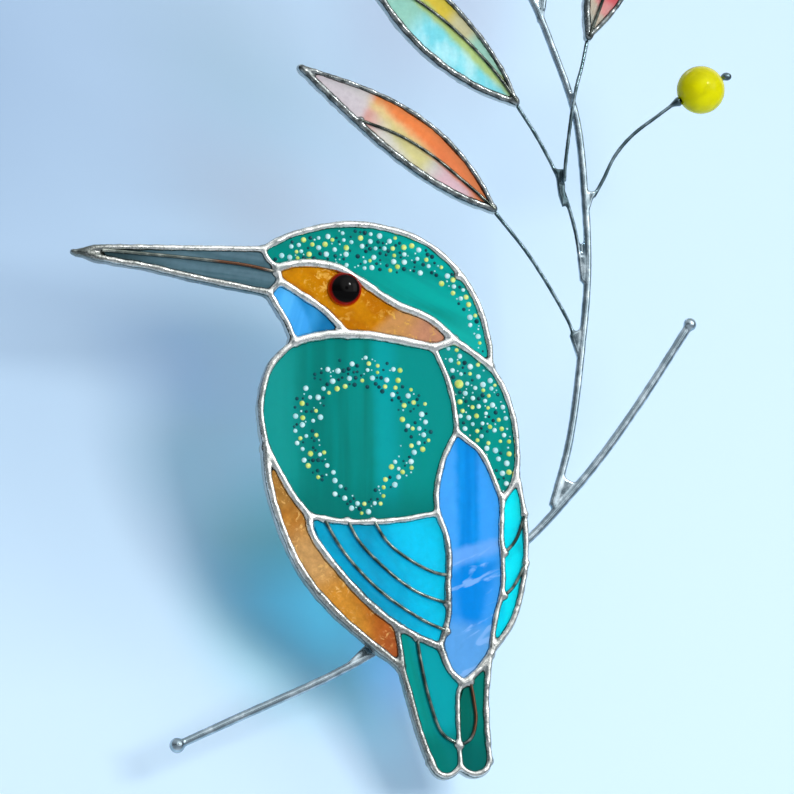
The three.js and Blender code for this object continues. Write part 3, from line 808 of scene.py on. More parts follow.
birdSolder = solderMaterial(
    "solder of the bird", birdDepth, (246, 246, 242), (206, 210, 206),
    # the solder is painted darker at the beak's tip, below the beak, beside the wing and on the tail;
    # beside the wing this is painted shade
    [
        (0.95, (112, 246), (92, 248)),
        (0.6, (180, 252), (178, 260), (282, 290), (262, 286)),
        (0.7, (440, 530), (446, 560), (466, 560), (456, 558)),
        (0.3, (330, 560), (380, 680)),
    ],
)
# darker solder on the leaves; its bright and worn patches paint broken highlights as well as wear
leafSolder = solderMaterial("solder of the leaves", 0, (164, 170, 170), (78, 84, 84))
tinnedWire = wireMaterial(
    "tinned wire", (146, 164, 174), (190, 205, 214), thin=((72, 92, 98), (118, 138, 146)),
)
featherWire = wireMaterial("feather wire", (58, 74, 70), (150, 162, 154))
midribWire = wireMaterial("dark wire of the leaves", (44, 50, 46), (112, 118, 110))
beakWire = wireMaterial(
    "worn beak wire", (104, 112, 106), (176, 180, 172), ((205, 250), (275, 258), (16, 0)),
)
tailWire = wireMaterial(
    "worn tail wire", (80, 92, 90), (160, 170, 164), ((470, 676), (470, 742), (0, 14)),
)

# Solder between the panes: width in mm, first junction, points between on the sheet, last junction
junctions = {
    "beakTip": (18.8, 135.9), "crownFoot": (66, 136.25), "beakRoot": (69.25, 131.75),
    "chinTop": (70.25, 128.25), "chin": (67.5, 125.5), "throatFoot": (74, 113.25),
    "neckMid": (87, 115.1), "neckBack": (108.5, 111.75), "neckEnd": (113.75, 113.5),
    "shoulderTop": (122.75, 107), "rump": (66.75, 86.75), "thigh": (77.4, 69.7),
    "wingTop": (109.5, 70.25), "scapular": (114.25, 90.75), "farTop": (129.25, 80.25),
    "farRoot": (125.75, 73.75), "vent": (99.2, 42.4), "ventFoot": (100.75, 32),
    "wingTip": (110.25, 37), "centreTip": (116, 27.75), "farTip": (122.75, 35.25),
    "tailNotch": (115.25, 7.25), "leftFeatherEnd": (108, 8.4), "rightFeatherEnd": (122.6, 8.6),
}
seams = {
    "beakTop": (1.6, "beakTip", [(24, 136.6), (45, 136.6)], "crownFoot"),
    "beakBelow": (1.9, "beakTip", [(25, 134.25), (37.5, 132), (50, 129.1)], "chin"),
    "browStep": (1.5, "crownFoot", [(67, 134)], "beakRoot"),
    "gape": (2.0, "beakRoot", [], "chinTop"),
    "chinStep": (1.8, "chinTop", [], "chin"),
    "crownRim": (1.75, "crownFoot", [
        (70, 138.5), (75, 140.5), (86.25, 142.5), (96.25, 141.6), (106.25, 138), (114, 131.5),
        (119.5, 122.75), (122.5, 112.25),
    ], "shoulderTop"),
    "eyeLine": (2.5, "beakRoot", [
        (75, 132.8), (80, 132.7), (84.5, 131.7), (91, 127.9), (98.75, 122.75), (107.5, 119),
    ], "neckEnd"),
    "nape": (2.2, "neckEnd", [(117.5, 111)], "shoulderTop"),
    "cheek": (2.3, "chinTop", [(74.25, 125.75), (81.25, 121), (84.5, 117.75)], "neckMid"),
    "throatRim": (1.7, "chin", [(69.75, 121.75), (71.75, 118.5)], "throatFoot"),
    "neckFront": (2.7, "throatFoot", [(77.5, 114.2), (82.5, 115)], "neckMid"),
    "neckBehind": (2.7, "neckMid", [(93.75, 114.7), (101.25, 113.3)], "neckBack"),
    "neckStep": (2.4, "neckBack", [], "neckEnd"),
    "backRim": (1.75, "throatFoot", [(70.5, 110.25), (67.75, 106.75), (65.5, 97.5)], "rump"),
    "flank": (2.1, "rump", [(68.7, 83.2), (72.8, 75.7)], "thigh"),
    "backFoot": (1.8, "thigh", [(86.25, 68.25), (97.5, 68.4)], "wingTop"),
    "backShoulder": (1.7, "neckBack", [(112.25, 103), (114, 95)], "scapular"),
    "backCentre": (1.8, "scapular", [(110.75, 83), (109.25, 75)], "wingTop"),
    "shoulderRim": (1.75, "shoulderTop", [(126, 101.5), (128.5, 94), (129.5, 84)], "farTop"),
    "shoulderCentre": (1.7, "scapular", [
        (117, 88.5), (120, 86), (122, 82.75), (124.5, 76.5),
    ], "farRoot"),
    "shoulderFar": (1.8, "farTop", [(128.1, 76.9)], "farRoot"),
    "bellyRim": (2.0, "rump", [
        (67.75, 77.25), (71, 66.5), (75.75, 56.25), (83.25, 46.75), (92.5, 38.5),
    ], "ventFoot"),
    "bellyWing": (2.3, "thigh", [(78, 65.8), (81.2, 60.6), (88.6, 51.8), (94.3, 46.2)], "vent"),
    "tailTop": (2.2, "vent", [(104.5, 39.5)], "wingTip"),
    "bellyTail": (1.8, "vent", [(99.9, 38.5)], "ventFoot"),
    "wingSide": (1.9, "wingTop", [(111.5, 65.2), (112.4, 60), (112.1, 52), (112.3, 45)], "wingTip"),
    "farRim": (1.7, "farTop", [(130.9, 72), (131.6, 62.5), (130.9, 53.2), (128.3, 43.6)], "farTip"),
    "centreFar": (1.6, "farRoot", [(125.5, 66), (125.8, 52), (124, 43.8)], "farTip"),
    "centreFootLeft": (2.1, "wingTip", [(112.6, 31.2)], "centreTip"),
    "centreFootRight": (2.1, "centreTip", [(119.6, 31)], "farTip"),
    "tailLeftRim": (1.75, "ventFoot", [(102.8, 24.4), (105.2, 16)], "leftFeatherEnd"),
    "tailLeftTip": (1.7, "leftFeatherEnd", [(109.4, 5.9), (111.2, 4.9), (113.2, 5.3)], "tailNotch"),
    "tailCentre": (1.5, "centreTip", [(114.9, 26.2), (114.6, 20)], "tailNotch"),
    "tailRightTip": (1.7, "tailNotch", [(116.8, 5.9), (119, 5.2), (121.5, 6.2)], "rightFeatherEnd"),
    "tailRightRim": (1.7, "rightFeatherEnd", [(121.8, 17), (121.8, 27)], "farTip"),
}
seamShape = {
    "edge": 1.9,  # height above the middle of the glass, and how much a wider line adds
    "rise": 0.25,
    "step": 0.8,
    # where lines meet: half width for each mm of width, and what is added to it and to the height
    "blob": (0.55, 0.35, 0.12),
    # more solder at the beak's tip and a drop on the crown's rim: place, radius and proportions
    "fills": [((23, 135.5), 1.2, (3.9, 1.8, 1)), ((114.6, 129.6), 1.3, (1, 1.9, 1))],
    # the share of their width that the beak's seams start with, and the mm to their full width
    "taper": (0.5, 5),
    "tip": (0.75, 1.5),  # radius and height of the solder at the very tip of the beak
    "voxel": 0.37,
    "swell": 0.1,
    "smoothing": (5, 1),  # times before and after the ripples
    "ripples": [(3.2, 0.16), (1.3, 0.07)],
}
blobSides = 16  # of the small balls that melt into the solder

# Wires laid on the glass, as points on the sheet, with a blob of solder at both ends
wireOnGlass = {
    "radius": 0.43,
    "blob": 1.1,
    "blobLean": 0.55,
    "blobSquash": (1, 0.85, 1),
    "above": 0.594,  # from the face of the bird's glass to the middle of the wire
    "aboveLeaf": 0.544,
    "step": 0.6,
    "blobStep": 0.5,
    "uneven": 0.06,
}
featherWires = {
    "beak_wire": [(24.5, 136.15), (37.5, 135), (50, 133.75), (62, 132.2), (69.5, 130.4)],
    "wing_wire_1": [(80.8, 69.4), (85.9, 60.8), (94.9, 51.1), (105.6, 43.7), (112.4, 40.6)],
    "wing_wire_2": [(86.7, 69), (90.2, 62.8), (99.8, 53.6), (105.6, 50), (112.4, 47.6)],
    "wing_wire_3": [(93.2, 69), (96.9, 63.1), (102.1, 58.9), (108.3, 55.6), (112.8, 54.6)],
    "far_wing_wire_1": [(126, 60), (128.9, 63.4), (131.4, 70.6)],
    "far_wing_wire_2": [(125.8, 49.4), (128.1, 51.5), (131.8, 58.4)],
    "tail_left_wire": [(104.3, 39.6), (105, 34.75), (107.5, 23.5), (110.75, 15.25), (115, 12.5)],
    "tail_right_wire": [(117.6, 28.6), (118.5, 23.5), (119, 18.5), (117.75, 14), (114.8, 12.2)],
}


def seamPoints(name):
    _, first, middle, last = seams[name]
    return [place(*p, onBird=True) for p in (junctions[first], *middle, junctions[last])]


def crestOf(width):
    return seamShape["edge"] + seamShape["rise"] * width


def wireEndBlobs(route, depth):
    # solder over both ends of a wire, leaning back along it
    blobs = []
    for end, inner in ((route[0], route[4]), (route[-1], route[-5])):
        lean = (inner - end).normalized()
        centre = end + lean * wireOnGlass["blobLean"]
        centre.y = depth - sheet["glassFront"]
        blobs.append(ball(centre, wireOnGlass["blob"], wireOnGlass["blobSquash"], blobSides))
    return blobs


def solderSeams():
    parts = []
    for seed, name in enumerate(seams):
        width = seams[name][0]
        route = smoothRoute(seamPoints(name), seamShape["step"])
        taper = seamShape["taper"] if seams[name][1] == "beakTip" else None
        parts.append(solderLine(route, width, crestOf(width), birdDepth, seed, taper=taper))
    for name, spot in junctions.items():
        width = max(w for w, first, _, last in seams.values() if name in (first, last))
        share, wider, higher = seamShape["blob"]
        radius, crest = share * width + wider, crestOf(width) + higher
        if name == "beakTip":
            radius, crest = seamShape["tip"]
        parts.append(ball(place(*spot, onBird=True), radius, (1, crest / radius, 1), blobSides))
    for name, points in featherWires.items():
        route = smoothRoute([place(*p, onBird=True) for p in points], wireOnGlass["blobStep"])
        blobs = wireEndBlobs(route, birdDepth)
        if name == "beak_wire":
            # its far end runs into the solder at the beak's tip
            bpy.data.objects.remove(blobs.pop(0))
        parts += blobs
    for spot, radius, squash in seamShape["fills"]:
        parts.append(ball(place(*spot, onBird=True), radius, squash))
    piece = joined("solderSeams", parts)
    before, after = seamShape["smoothing"]
    remeshed(piece, seamShape["voxel"])
    smoothed(piece, before)
    swollen(piece, seamShape["swell"])
    rippled(piece, seamShape["ripples"], 1)
    smoothed(piece, after)
    finished(piece, "solderSeams", birdSolder, "solder", "solder_seams")


def layWire(route, seed, title, material, node):
    wire = roundWire(route, wireOnGlass["radius"], seed, wireOnGlass["uneven"])
    bpy.ops.object.shade_smooth()
    finished(wire, title, material, "tinned_wire", node)


def wirePieces():
    worn = {"beak_wire": beakWire, "tail_right_wire": tailWire}
    forward = sheet["glassFront"] + wireOnGlass["above"]
    for seed, (name, points) in enumerate(featherWires.items()):
        spots = [place(*p, forward=forward, onBird=True) for p in points]
        route = smoothRoute(spots, wireOnGlass["step"])
        title = name.replace("_", " ").title().replace(" ", "")
        layWire(route[2:-2], seed, title[0].lower() + title[1:], worn.get(name, featherWire), name)


solderSeams()
wirePieces()

# Branch, twig and stems, as points on the sheet and how far forward of the branch's plane
branchwork = {
    "branch": [
        (44.5, 12.5), (60, 19.5), (82.5, 29.6), (93.25, 35.5), (106, 44), (120, 54.6), (132, 63.6),
        (141.5, 73.6), (150, 83.75), (160, 97.75), (172.75, 117.5),
    ],
    "twig": [
        (138.2, 72), (142.5, 88.25), (145.75, 113.25), (147.1, 131), (146.5, 148.25),
        (144.1, 169.75), (138.15, 187.25), (133.5, 198.5), (127.8, 208.6), (120, 217.3), (111, 223.6),
    ],
    "eyeReturn": [
        (113.6, 232.6), (120.2, 226.6), (128, 218.2), (133.8, 208.6), (136, 202), (135.7, 196.5),
    ],
    "eyeTurn": (225, 50, 8),  # degrees at its start and end, and how many steps
    "leafStem1": [(123.9, 145.6), (132.75, 134.25), (142.25, 118.25), (144, 113.6)],
    "leafStem2": [
        (129.4, 172.4), (134.25, 164.75), (138.75, 156.25), (141.5, 149.6), (144.2, 140),
        (145.15, 133.4),
    ],
    "leafStem3": [
        (147, 188.6, 0), (145.5, 182.25, 1.2), (143.7, 176, 2.2), (142.6, 169.5, 2.2),
        (141.15, 157, 1.7), (140.9, 153, 1.7),
    ],
    "berryStem": [(148.6, 149.4), (151, 153.75), (154, 159.8), (158.4, 165), (164.4, 169.6)],
    "branchRadius": 1.1,
    "twigRadius": 1.0,
    "stemRadius": 0.5,
    "balls": [((44.5, 12.5), 1.95), ((172.75, 117.5), 1.65)],
    # plates of solder that fill the forks, melted into the wires
    "webs": [
        [(140.6, 82), (141.6, 78.8), (144.2, 77.6), (139, 71), (138, 71.6)],
        [(145.6, 116.6), (142.6, 114.8), (144.6, 108.6), (146, 110)],
        [(147, 135.2), (144.6, 134.6), (145.2, 128.4), (147, 127)],
        [(146.2, 150.6), (149, 151), (147.2, 145.2), (146.4, 145)],
        [(133.6, 199), (136.4, 199), (136.2, 194.6), (134.6, 193)],
        [(139, 156.4), (141, 156.4), (141.4, 152), (141, 146.5), (139.8, 150)],
        [(87.5, 33.6), (91.4, 37.4), (95.5, 35.6), (89, 31.8)],
    ],
    "webThickness": 1.5,
    "step": 0.7,
    "uneven": (0.04, 4.0),  # how much the wires swell and thin, and over how many mm
    "voxel": 0.26,
    "fillet": 0.3,
    "bulge": 0.04,  # mm left over after the fillets
    "smoothing": (3, 1),
    "ripples": [(2.6, 0.045), (1.1, 0.02)],
    # mm from the middle of a stout wire to where the stems' own tint begins and is full
    "thinFrom": (2.1, 3.0),
}
berry = {
    "place": (175.6, 176.4),
    "axis": (0.875, 0, 0.484),
    "radius": 6.05,
    "segments": (48, 32),
    "openWithin": 0.68,  # mm from the axis, where both poles are taken out
    "sharpFrom": 40,
    "gap": 0.3,  # between the bead and what stands against it
    "stemEnd": 2.2,  # how far before the bead the stem straightens
    "overlap": 0.4,
    "capLength": 2.6,
    "capRadii": (1.35, 0.4),
    "knobRadius": 1.15,
    "knobSquash": (1.2, 0.9, 0.9),
    "dark": (194, 190, 0), "light": (212, 208, 2),
    "swirlNoise": (0.22, 3.0, 1.2), "swirlMask": (0.3, 0.7),
    "roughness": 0.12, "ior": 1.5, "specular": 0.12,
    "milky": 0.5, "milkyReach": (3, 3, 1),  # mm that red, green and blue light wander inside it
}
berryCentre = place(*berry["place"])
berryAxis = Vector(berry["axis"]).normalized()


def hangingEyeArc():
    start, end, steps = branchwork["eyeTurn"]
    reach = sheet["eyeHoleRadius"] + branchwork["twigRadius"]
    centre = place(*sheet["hangingEye"])
    arc = []
    for i in range(steps + 1):
        turn = math.radians(start + (end - start) * i / steps)
        arc.append(centre + Vector((math.cos(turn), 0, math.sin(turn))) * reach)
    return arc


def forkWeb(corners):
    half = Vector((0, branchwork["webThickness"] / 2, 0))
    spots = [place(*corner) for corner in corners]
    count = len(spots)
    verts = [(p - half) * mm for p in spots] + [(p + half) * mm for p in spots]
    faces = [tuple(range(count)), tuple(range(2 * count - 1, count - 1, -1))]
    faces += [(i, (i + 1) % count, (i + 1) % count + count, i + count) for i in range(count)]
    mesh = bpy.data.meshes.new("web")
    mesh.from_pydata(verts, [], faces)
    web = bpy.data.objects.new("web", mesh)
    bpy.context.collection.objects.link(web)
    pick(web)
    bpy.ops.object.mode_set(mode="EDIT")
    bpy.ops.mesh.select_all(action="SELECT")
    bpy.ops.mesh.normals_make_consistent(inside=False)
    bpy.ops.object.mode_set(mode="OBJECT")
    return web


def berryCap():
    # the stem widens into a cone against the berry
    middle = berryCentre - berryAxis * (berry["radius"] + berry["gap"] + berry["capLength"] / 2)
    wide, narrow = berry["capRadii"]
    pick()
    bpy.ops.mesh.primitive_cone_add(
        vertices=24, radius1=wide * mm, radius2=narrow * mm, depth=berry["capLength"] * mm,
        location=middle * mm, rotation=(-berryAxis).to_track_quat("Z", "Y").to_euler(),
    )
    cap = bpy.context.object
    settle(cap)
    return cap


def markThin(piece, stoutRoutes, low, high):
    # 0 near the stout wires and 1 away from them, on the stems
    points = [p for route in stoutRoutes for p in route]
    tree = kdtree.KDTree(len(points))
    for i, p in enumerate(points):
        tree.insert(p * mm, i)
    tree.balance()
    thin = piece.data.attributes.new("thin", "FLOAT", "POINT")
    for vertex, mark in zip(piece.data.vertices, thin.data):
        away = tree.find(vertex.co)[2] / mm
        mark.value = min(1.0, max(0.0, (away - low) / (high - low)))


def branchworkPiece():
    made = branchwork
    branch, twig, *stems, berryStem = [
        [place(*p) for p in made[wire]]
        for wire in ("branch", "twig", "leafStem1", "leafStem2", "leafStem3", "berryStem")
    ]
    twig += hangingEyeArc() + [place(*p) for p in made["eyeReturn"]]
    berryEnd = berryCentre - berryAxis * (berry["radius"] + berry["stemEnd"])
    knob = berryCentre + berryAxis * (berry["radius"] + berry["gap"] + berry["knobRadius"])
    throughBead = [berryEnd - berryAxis * berry["overlap"], berryCentre, knob]
    routes = [(branch, made["branchRadius"]), (twig, made["twigRadius"])]
    routes += [(stem, made["stemRadius"]) for stem in (*stems, [*berryStem, berryEnd], throughBead)]
    parts = []
    for seed, (points, radius) in enumerate(routes, 20):
        parts.append(roundWire(smoothRoute(points, made["step"]), radius, seed, *made["uneven"]))
    for spot, radius in made["balls"]:
        parts.append(ball(place(*spot), radius))
    for corners in made["webs"]:
        parts.append(forkWeb(corners))
    parts.append(ball(knob, berry["knobRadius"], berry["knobSquash"], blobSides))
    parts.append(berryCap())
    piece = joined("branchwork", parts)
    before, after = made["smoothing"]
    remeshed(piece, made["voxel"])
    swollen(piece, made["fillet"])
    remeshed(piece, made["voxel"])
    smoothed(piece, before)
    swollen(piece, -made["fillet"] + made["bulge"])
    rippled(piece, made["ripples"], 2)
    smoothed(piece, after)
    markThin(piece, [smoothRoute(branch, 1), smoothRoute(twig, 1)], *made["thinFrom"])
    finished(
        piece, "branchwork", tinnedWire, "tinned_wire",
        "branch", "twig", "leaf_1_stem", "leaf_2_stem", "leaf_3_stem", "berry_stem",
    )


branchworkPiece()

# Leaves: base and tip on the sheet, half width and sideways bow in mm, and the wire on the glass
leaves = [
    {
        "base": (123.4, 146.2), "tip": (75.2, 181.6), "halfWidth": 5.7, "bow": 2,
        "midrib": [(0, 0), (0.18, 1), (0.34, 1.5), (0.5, 0.7), (0.68, -2.2)],
    },
    {
        "base": (129, 173), "tip": (83.8, 220.6), "halfWidth": 6.7, "bow": -1.4,
        "midrib": [(0, 0), (0.1, 1), (0.26, 1.5), (0.42, 0.8), (0.56, -0.9), (0.78, -5)],
    },
    {
        "base": (147.1, 189.4), "tip": (166.9, 249.8), "halfWidth": 6.4, "bow": 1.0,
        "midrib": [(0, 0), (0.15, 0.4), (0.35, 0.6), (0.55, 2), (0.7, 4.6)],
    },
]
leafRim = {
    "widths": (1.5, 2.0),
    "crest": 2.3,
    "uneven": (0.14, 1.8),
    "steps": 9,  # points along each edge, and the mm between those of the curve through them
    "curveStep": 0.7,
    "fullness": 0.84,  # below 1, a leaf is widest nearer to its base
    "ends": (1.1, (1, 2.1, 1)),  # radius and proportions of the solder at both ends
    "voxel": 0.3,
    "smoothing": 4,
    "ripples": [(2.2, 0.13), (0.9, 0.06)],
}


def leafPoint(leaf, along, sideways):
    start, end = place(*leaf["base"]), place(*leaf["tip"])
    axis = end - start
    across = Vector((axis.z, 0, -axis.x)).normalized()
    return start + axis * along + across * sideways


def leafEdge(leaf, side):
    points = []
    for i in range(leafRim["steps"] + 1):
        along = i / leafRim["steps"]
        half = leaf["halfWidth"] * math.sin(math.pi * along ** leafRim["fullness"])
        bow = leaf["bow"] * math.sin(math.pi * along)
        points.append(leafPoint(leaf, along, bow + side * half))
    return smoothRoute(points, leafRim["curveStep"])


def leafPieces(number, leaf):
    midribRoute = smoothRoute([leafPoint(leaf, *p) for p in leaf["midrib"]], wireOnGlass["step"])
    crest, uneven = leafRim["crest"], leafRim["uneven"]
    parts = [
        solderLine(leafEdge(leaf, side), width, crest, 0, number + side, *uneven)
        for side, width in zip((1, -1), leafRim["widths"])
    ]
    for spot in ("base", "tip"):
        parts.append(ball(place(*leaf[spot]), *leafRim["ends"], blobSides))
    parts += wireEndBlobs(midribRoute, 0)
    rim = joined("leafRim", parts)
    remeshed(rim, leafRim["voxel"])
    smoothed(rim, leafRim["smoothing"])
    rippled(rim, leafRim["ripples"], 3 + number)
    finished(rim, f"leafRim{number}", leafSolder, "solder", f"leaf_{number}_rim")
    forward = Vector((0, -sheet["glassFront"] - wireOnGlass["aboveLeaf"], 0))
    route = [p + forward for p in midribRoute]
    layWire(route, number, f"leafMidrib{number}", midribWire, f"leaf_{number}_midrib")


for number, leaf in enumerate(leaves, 1):
    leafPieces(number, leaf)

# Enamel dots on the crown, back and shoulder
dots = {
    "seed": 5,
    "clear": 0.42,  # clear of the edge of the pane, beyond the dot's own radius
    "gap": 0.14,
    "tries": 9000,
    # smallest and largest diameter, height for each mm of it, and the gap between two such dots
    "kinds": {
        "pale": (0.95, 1.5, 0.3, 0.55),
        "yellow": (0.85, 1.45, 0.3, 0.6),
        "dark": (0.55, 1.2, 0.34, 0.1),
        "speck": (0.35, 0.55, 0.3, 0.3),
    },
    "counts": {
        "crown_glass": {"pale": 40, "yellow": 26, "dark": 54, "speck": 30},
        "back_glass": {"pale": 48, "yellow": 38, "dark": 84, "speck": 34},
        "shoulder_glass": {"pale": 34, "yellow": 22, "dark": 20, "speck": 26},
    },
    "ringCentre": (361, 428),  # pixels of the photograph
    "ringRadius": 14.25,
    "ringTail": 21.25,
    "ringPoint": 1.74,  # above 1, its sides stay wide for longer
    "ringSteps": 80,
    "ringHalf": (3.7, 1.3),  # half width of the ring at its shoulders and at its lower end
    "crownEdge": [  # pixels along the lower edge of the crown's dots
        (268, 262), (300, 263), (330, 264), (360, 269), (400, 272), (430, 277), (447, 289),
        (459, 304), (467, 321), (475, 338), (482, 356),
    ],
    "largeDot": ((459, 384), 1.15),
    "dome": (12, 8, 60),  # segments, rings, and the angle from which an edge is sharp
    "tints": {
        "pale": ((166, 218, 226), (210, 238, 242)),
        "yellow": ((186, 212, 98), (224, 236, 146)),
        "dark": ((0, 46, 60), (0, 78, 88)),
    },
    "tintNoise": (0.8, 2.0),
    "tintMask": (0.35, 0.65),
    "roughness": 0.14,
    "specular": 0.25,
}


def onPane(nodeName, x, z, margin):
    # the place and six points around it are all over the pane
    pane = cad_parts[nodeName]
    around = [(margin, 2 * math.pi * i / 6) for i in range(6)]
    for reach, turn in (*around, (0, 0)):
        over = Vector(((x + reach * math.cos(turn)) * mm, -0.05, (z + reach * math.sin(turn)) * mm))
        if not pane.ray_cast(over, Vector((0, 1, 0)))[0]:
            return False
    return True


def ringPoints():
    # the ring on the back: half a circle above, two sides that draw together below
    middle = throughPixel(*dots["ringCentre"], birdFace)
    radius, steps = dots["ringRadius"], dots["ringSteps"]
    points = []
    for i in range(steps + 1):
        down = i / steps
        out = radius * (1 - down ** dots["ringPoint"])
        turn = math.pi * i / steps
        for side in (-out, out):
            points.append((middle + Vector((side, 0, -dots["ringTail"] * down)), down))
        points.append((middle + Vector((math.cos(turn), 0, math.sin(turn))) * radius, 0))
    return points


ringLine = ringPoints()
crownEdge = smoothRoute([throughPixel(*p, birdFace) for p in dots["crownEdge"]], 1)


def inPattern(nodeName, x, z):
    if nodeName == "back_glass":
        distance, down = min((math.hypot(p.x - x, p.z - z), down) for p, down in ringLine)
        wide, narrow = dots["ringHalf"]
        return distance < wide + (narrow - wide) * down
    if nodeName == "crown_glass":
        p = min(crownEdge, key=lambda q: math.hypot(q.x - x, q.z - z))
        return (x - p.x) + (z - p.z) > 0
    return True


def scatterDots():
    random.seed(dots["seed"])
    spot, radius = dots["largeDot"]
    large = throughPixel(*spot, birdFace)
    placed = [(large.x, large.z, radius, "yellow")]
    for nodeName, counts in dots["counts"].items():
        low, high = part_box(nodeName)
        for kind, count in counts.items():
            small, wide, _, apart = dots["kinds"][kind]
            for _ in range(dots["tries"]):
                if not count:
                    break
                x, z = random.uniform(low.x, high.x) / mm, random.uniform(low.z, high.z) / mm
                radius = random.uniform(small, wide) / 2
                if not inPattern(nodeName, x, z):
                    continue
                if any(
                    math.hypot(x - a, z - b) < radius + r + (apart if kind == sort else dots["gap"])
                    for a, b, r, sort in placed
                ):
                    continue
                if onPane(nodeName, x, z, radius + dots["clear"]):
                    placed.append((x, z, radius, kind))
                    count -= 1
            if count:
                print(nodeName, kind, "dots without room:", count)
    return placed


def enamel(name, edge, middle):
    material, tree = newMaterial(name)
    spots = cloud(tree, inMillimetres(tree), *dots["tintNoise"])
    tint = mixed(tree, band(tree, spots, *dots["tintMask"]), colour(*edge), colour(*middle))
    return output(material, addNode(tree, "BsdfPrincipled", {
        "Base Color": tint, "Roughness": dots["roughness"], "Specular IOR Level": dots["specular"],
    }))


def dotPieces():
    placed = scatterDots()
    for kind, tints in dots["tints"].items():
        # a drop of enamel 1 mm across, copied to each place; specks go with the pale dots
        drop = dome(0.5, 0.5, Vector(), *dots["dome"])
        copies = []
        for x, z, radius, sort in placed:
            if sort != kind and not (sort == "speck" and kind == "pale"):
                continue
            copy = drop.copy()
            copy.data = drop.data.copy()
            bpy.context.collection.objects.link(copy)
            height = dots["kinds"][sort][2]
            copy.scale = (2 * radius, 4 * height * radius, 2 * radius)
            copy.location = (x * mm, birdFace * mm, z * mm)
            copies.append(copy)
        bpy.data.objects.remove(drop)
        piece = joined(kind + "Dots", copies)
        settle(piece)
        print(kind, "dots:", len(copies))
        finished(piece, kind + "Dots", enamel(kind + " enamel", *tints), "teal_glass")


dotPieces()

# The eye: a domed glass eye, black with a red amber edge
eye = {
    "place": (86.25, 126.25),
    "radius": 4.35,
    "height": 2.7,
    "sunk": 0.1,
    "dome": (48, 32, 40),
    "black": (4, 3, 3), "red": (140, 14, 2), "amber": (196, 80, 6),
    "redFrom": (3.35, 3.9), "amberFrom": (3.95, 4.3),  # mm from the middle
    "roughness": 0.08, "ior": 1.5, "specular": 0.1,
}
eyeCentre = place(*eye["place"], onBird=True)


def eyeMaterial():
    material, tree = newMaterial("glass eye")
    away = distanceFrom(tree, eyeCentre.x, eyeCentre.z)
    tint = mixed(tree, band(tree, away, *eye["redFrom"]), colour(*eye["black"]), colour(*eye["red"]))
    tint = mixed(tree, band(tree, away, *eye["amberFrom"]), tint, colour(*eye["amber"]))
    return output(material, addNode(tree, "BsdfPrincipled", {
        "Base Color": tint, "Roughness": eye["roughness"], "IOR": eye["ior"],
        "Specular IOR Level": eye["specular"],
    }))


def eyePiece():
    centre = Vector((eyeCentre.x, birdFace - eye["sunk"], eyeCentre.z))
    piece = dome(eye["radius"], eye["height"], centre, *eye["dome"])
    finished(piece, "glassEye", eyeMaterial(), "black_glass", "eye")


eyePiece()


def berryMaterial():
    material, tree = newMaterial("yellow glass")
    swirl = cloud(tree, inMillimetres(tree), *berry["swirlNoise"])
    mask = band(tree, swirl, *berry["swirlMask"])
    return output(material, addNode(tree, "BsdfPrincipled", {
        "Base Color": mixed(tree, mask, colour(*berry["dark"]), colour(*berry["light"])),
        "Roughness": berry["roughness"], "IOR": berry["ior"], "Specular IOR Level": berry["specular"],
        "Subsurface Weight": berry["milky"], "Subsurface Scale": 1.0,
        "Subsurface Radius": tuple(reach * mm for reach in berry["milkyReach"]),
    }))


def berryPiece():
    segments, rings = berry["segments"]
    pick()
    bpy.ops.mesh.primitive_uv_sphere_add(
        segments=segments, ring_count=rings, radius=berry["radius"] * mm,
    )
    bead = bpy.context.object
    bpy.ops.object.mode_set(mode="EDIT")
    bpy.ops.mesh.select_all(action="DESELECT")
    bpy.ops.object.mode_set(mode="OBJECT")
    # the two poles are taken out and bridged, which leaves a bore
    for vertex in bead.data.vertices:
        vertex.select = math.hypot(vertex.co.x, vertex.co.y) < berry["openWithin"] * mm
    bpy.ops.object.mode_set(mode="EDIT")
    bpy.ops.mesh.delete(type="VERT")
    bpy.ops.mesh.select_all(action="DESELECT")
    bpy.ops.mesh.select_non_manifold()
    bpy.ops.mesh.bridge_edge_loops()
    bpy.ops.mesh.select_all(action="SELECT")
    bpy.ops.mesh.normals_make_consistent(inside=False)
    bpy.ops.object.mode_set(mode="OBJECT")
    bead.rotation_euler = berryAxis.to_track_quat("Z", "Y").to_euler()
    bead.location = berryCentre * mm
    settle(bead)
    bpy.ops.object.shade_smooth_by_angle(angle=math.radians(berry["sharpFrom"]))
    finished(bead, "berryBead", berryMaterial(), "yellow_glass", "berry")


berryPiece()

# The wall behind, the floor, the light and the camera
stageLook = {
    "wallBehind": 54,
    "wallTilt": 20,  # degrees that it leans back, so that the tail hangs nearest to it
    "wallSize": 560,
    "wallFade": (200, 270),
    "wallCorner": (-106, -41),  # x and z where the wall is darkest
    "wallShade": (175, 0.63),  # how far the shade reaches, and how dark it is
    "shadeHue": (1.15, 0.7),  # above 1 the shade takes more of the red, below 1 less of the blue
    "glow": (0.24, (176, 206, 255)),  # light of the wall's own, which keeps the shadows soft
    "glowAtCast": 0.05,
    "castAt": ((306, 610), 14, 44),  # pixel where the glass throws its colour, and its reach in mm
    "castRed": 0.62,  # how much red is left there
    "floorBelow": 1500,
    "floorSize": 24000,
    "wall": (197, 221, 236),
    "floor": (232, 238, 246),
}
# Lights: from where in metres, width and height, power, tint, and whether they light and gleam
lights = {
    "key": ((0.5, -1.5, 0.0), (0.6, 0.6), 18.8, (1.0, 0.99, 0.96), True, False),
    "sparkle": ((0.78, -1.5, 0.72), (0.2, 0.2), 8, (1.0, 1.0, 1.0), False, True),
    "side": ((1.1, -0.8, 0.2), (0.6, 0.8), 2.0, (0.95, 0.98, 1.0), True, True),
    "back": ((-0.5, 1.0, 0.9), (0.5, 0.8), 5, (0.95, 0.98, 1.0), True, True),
}
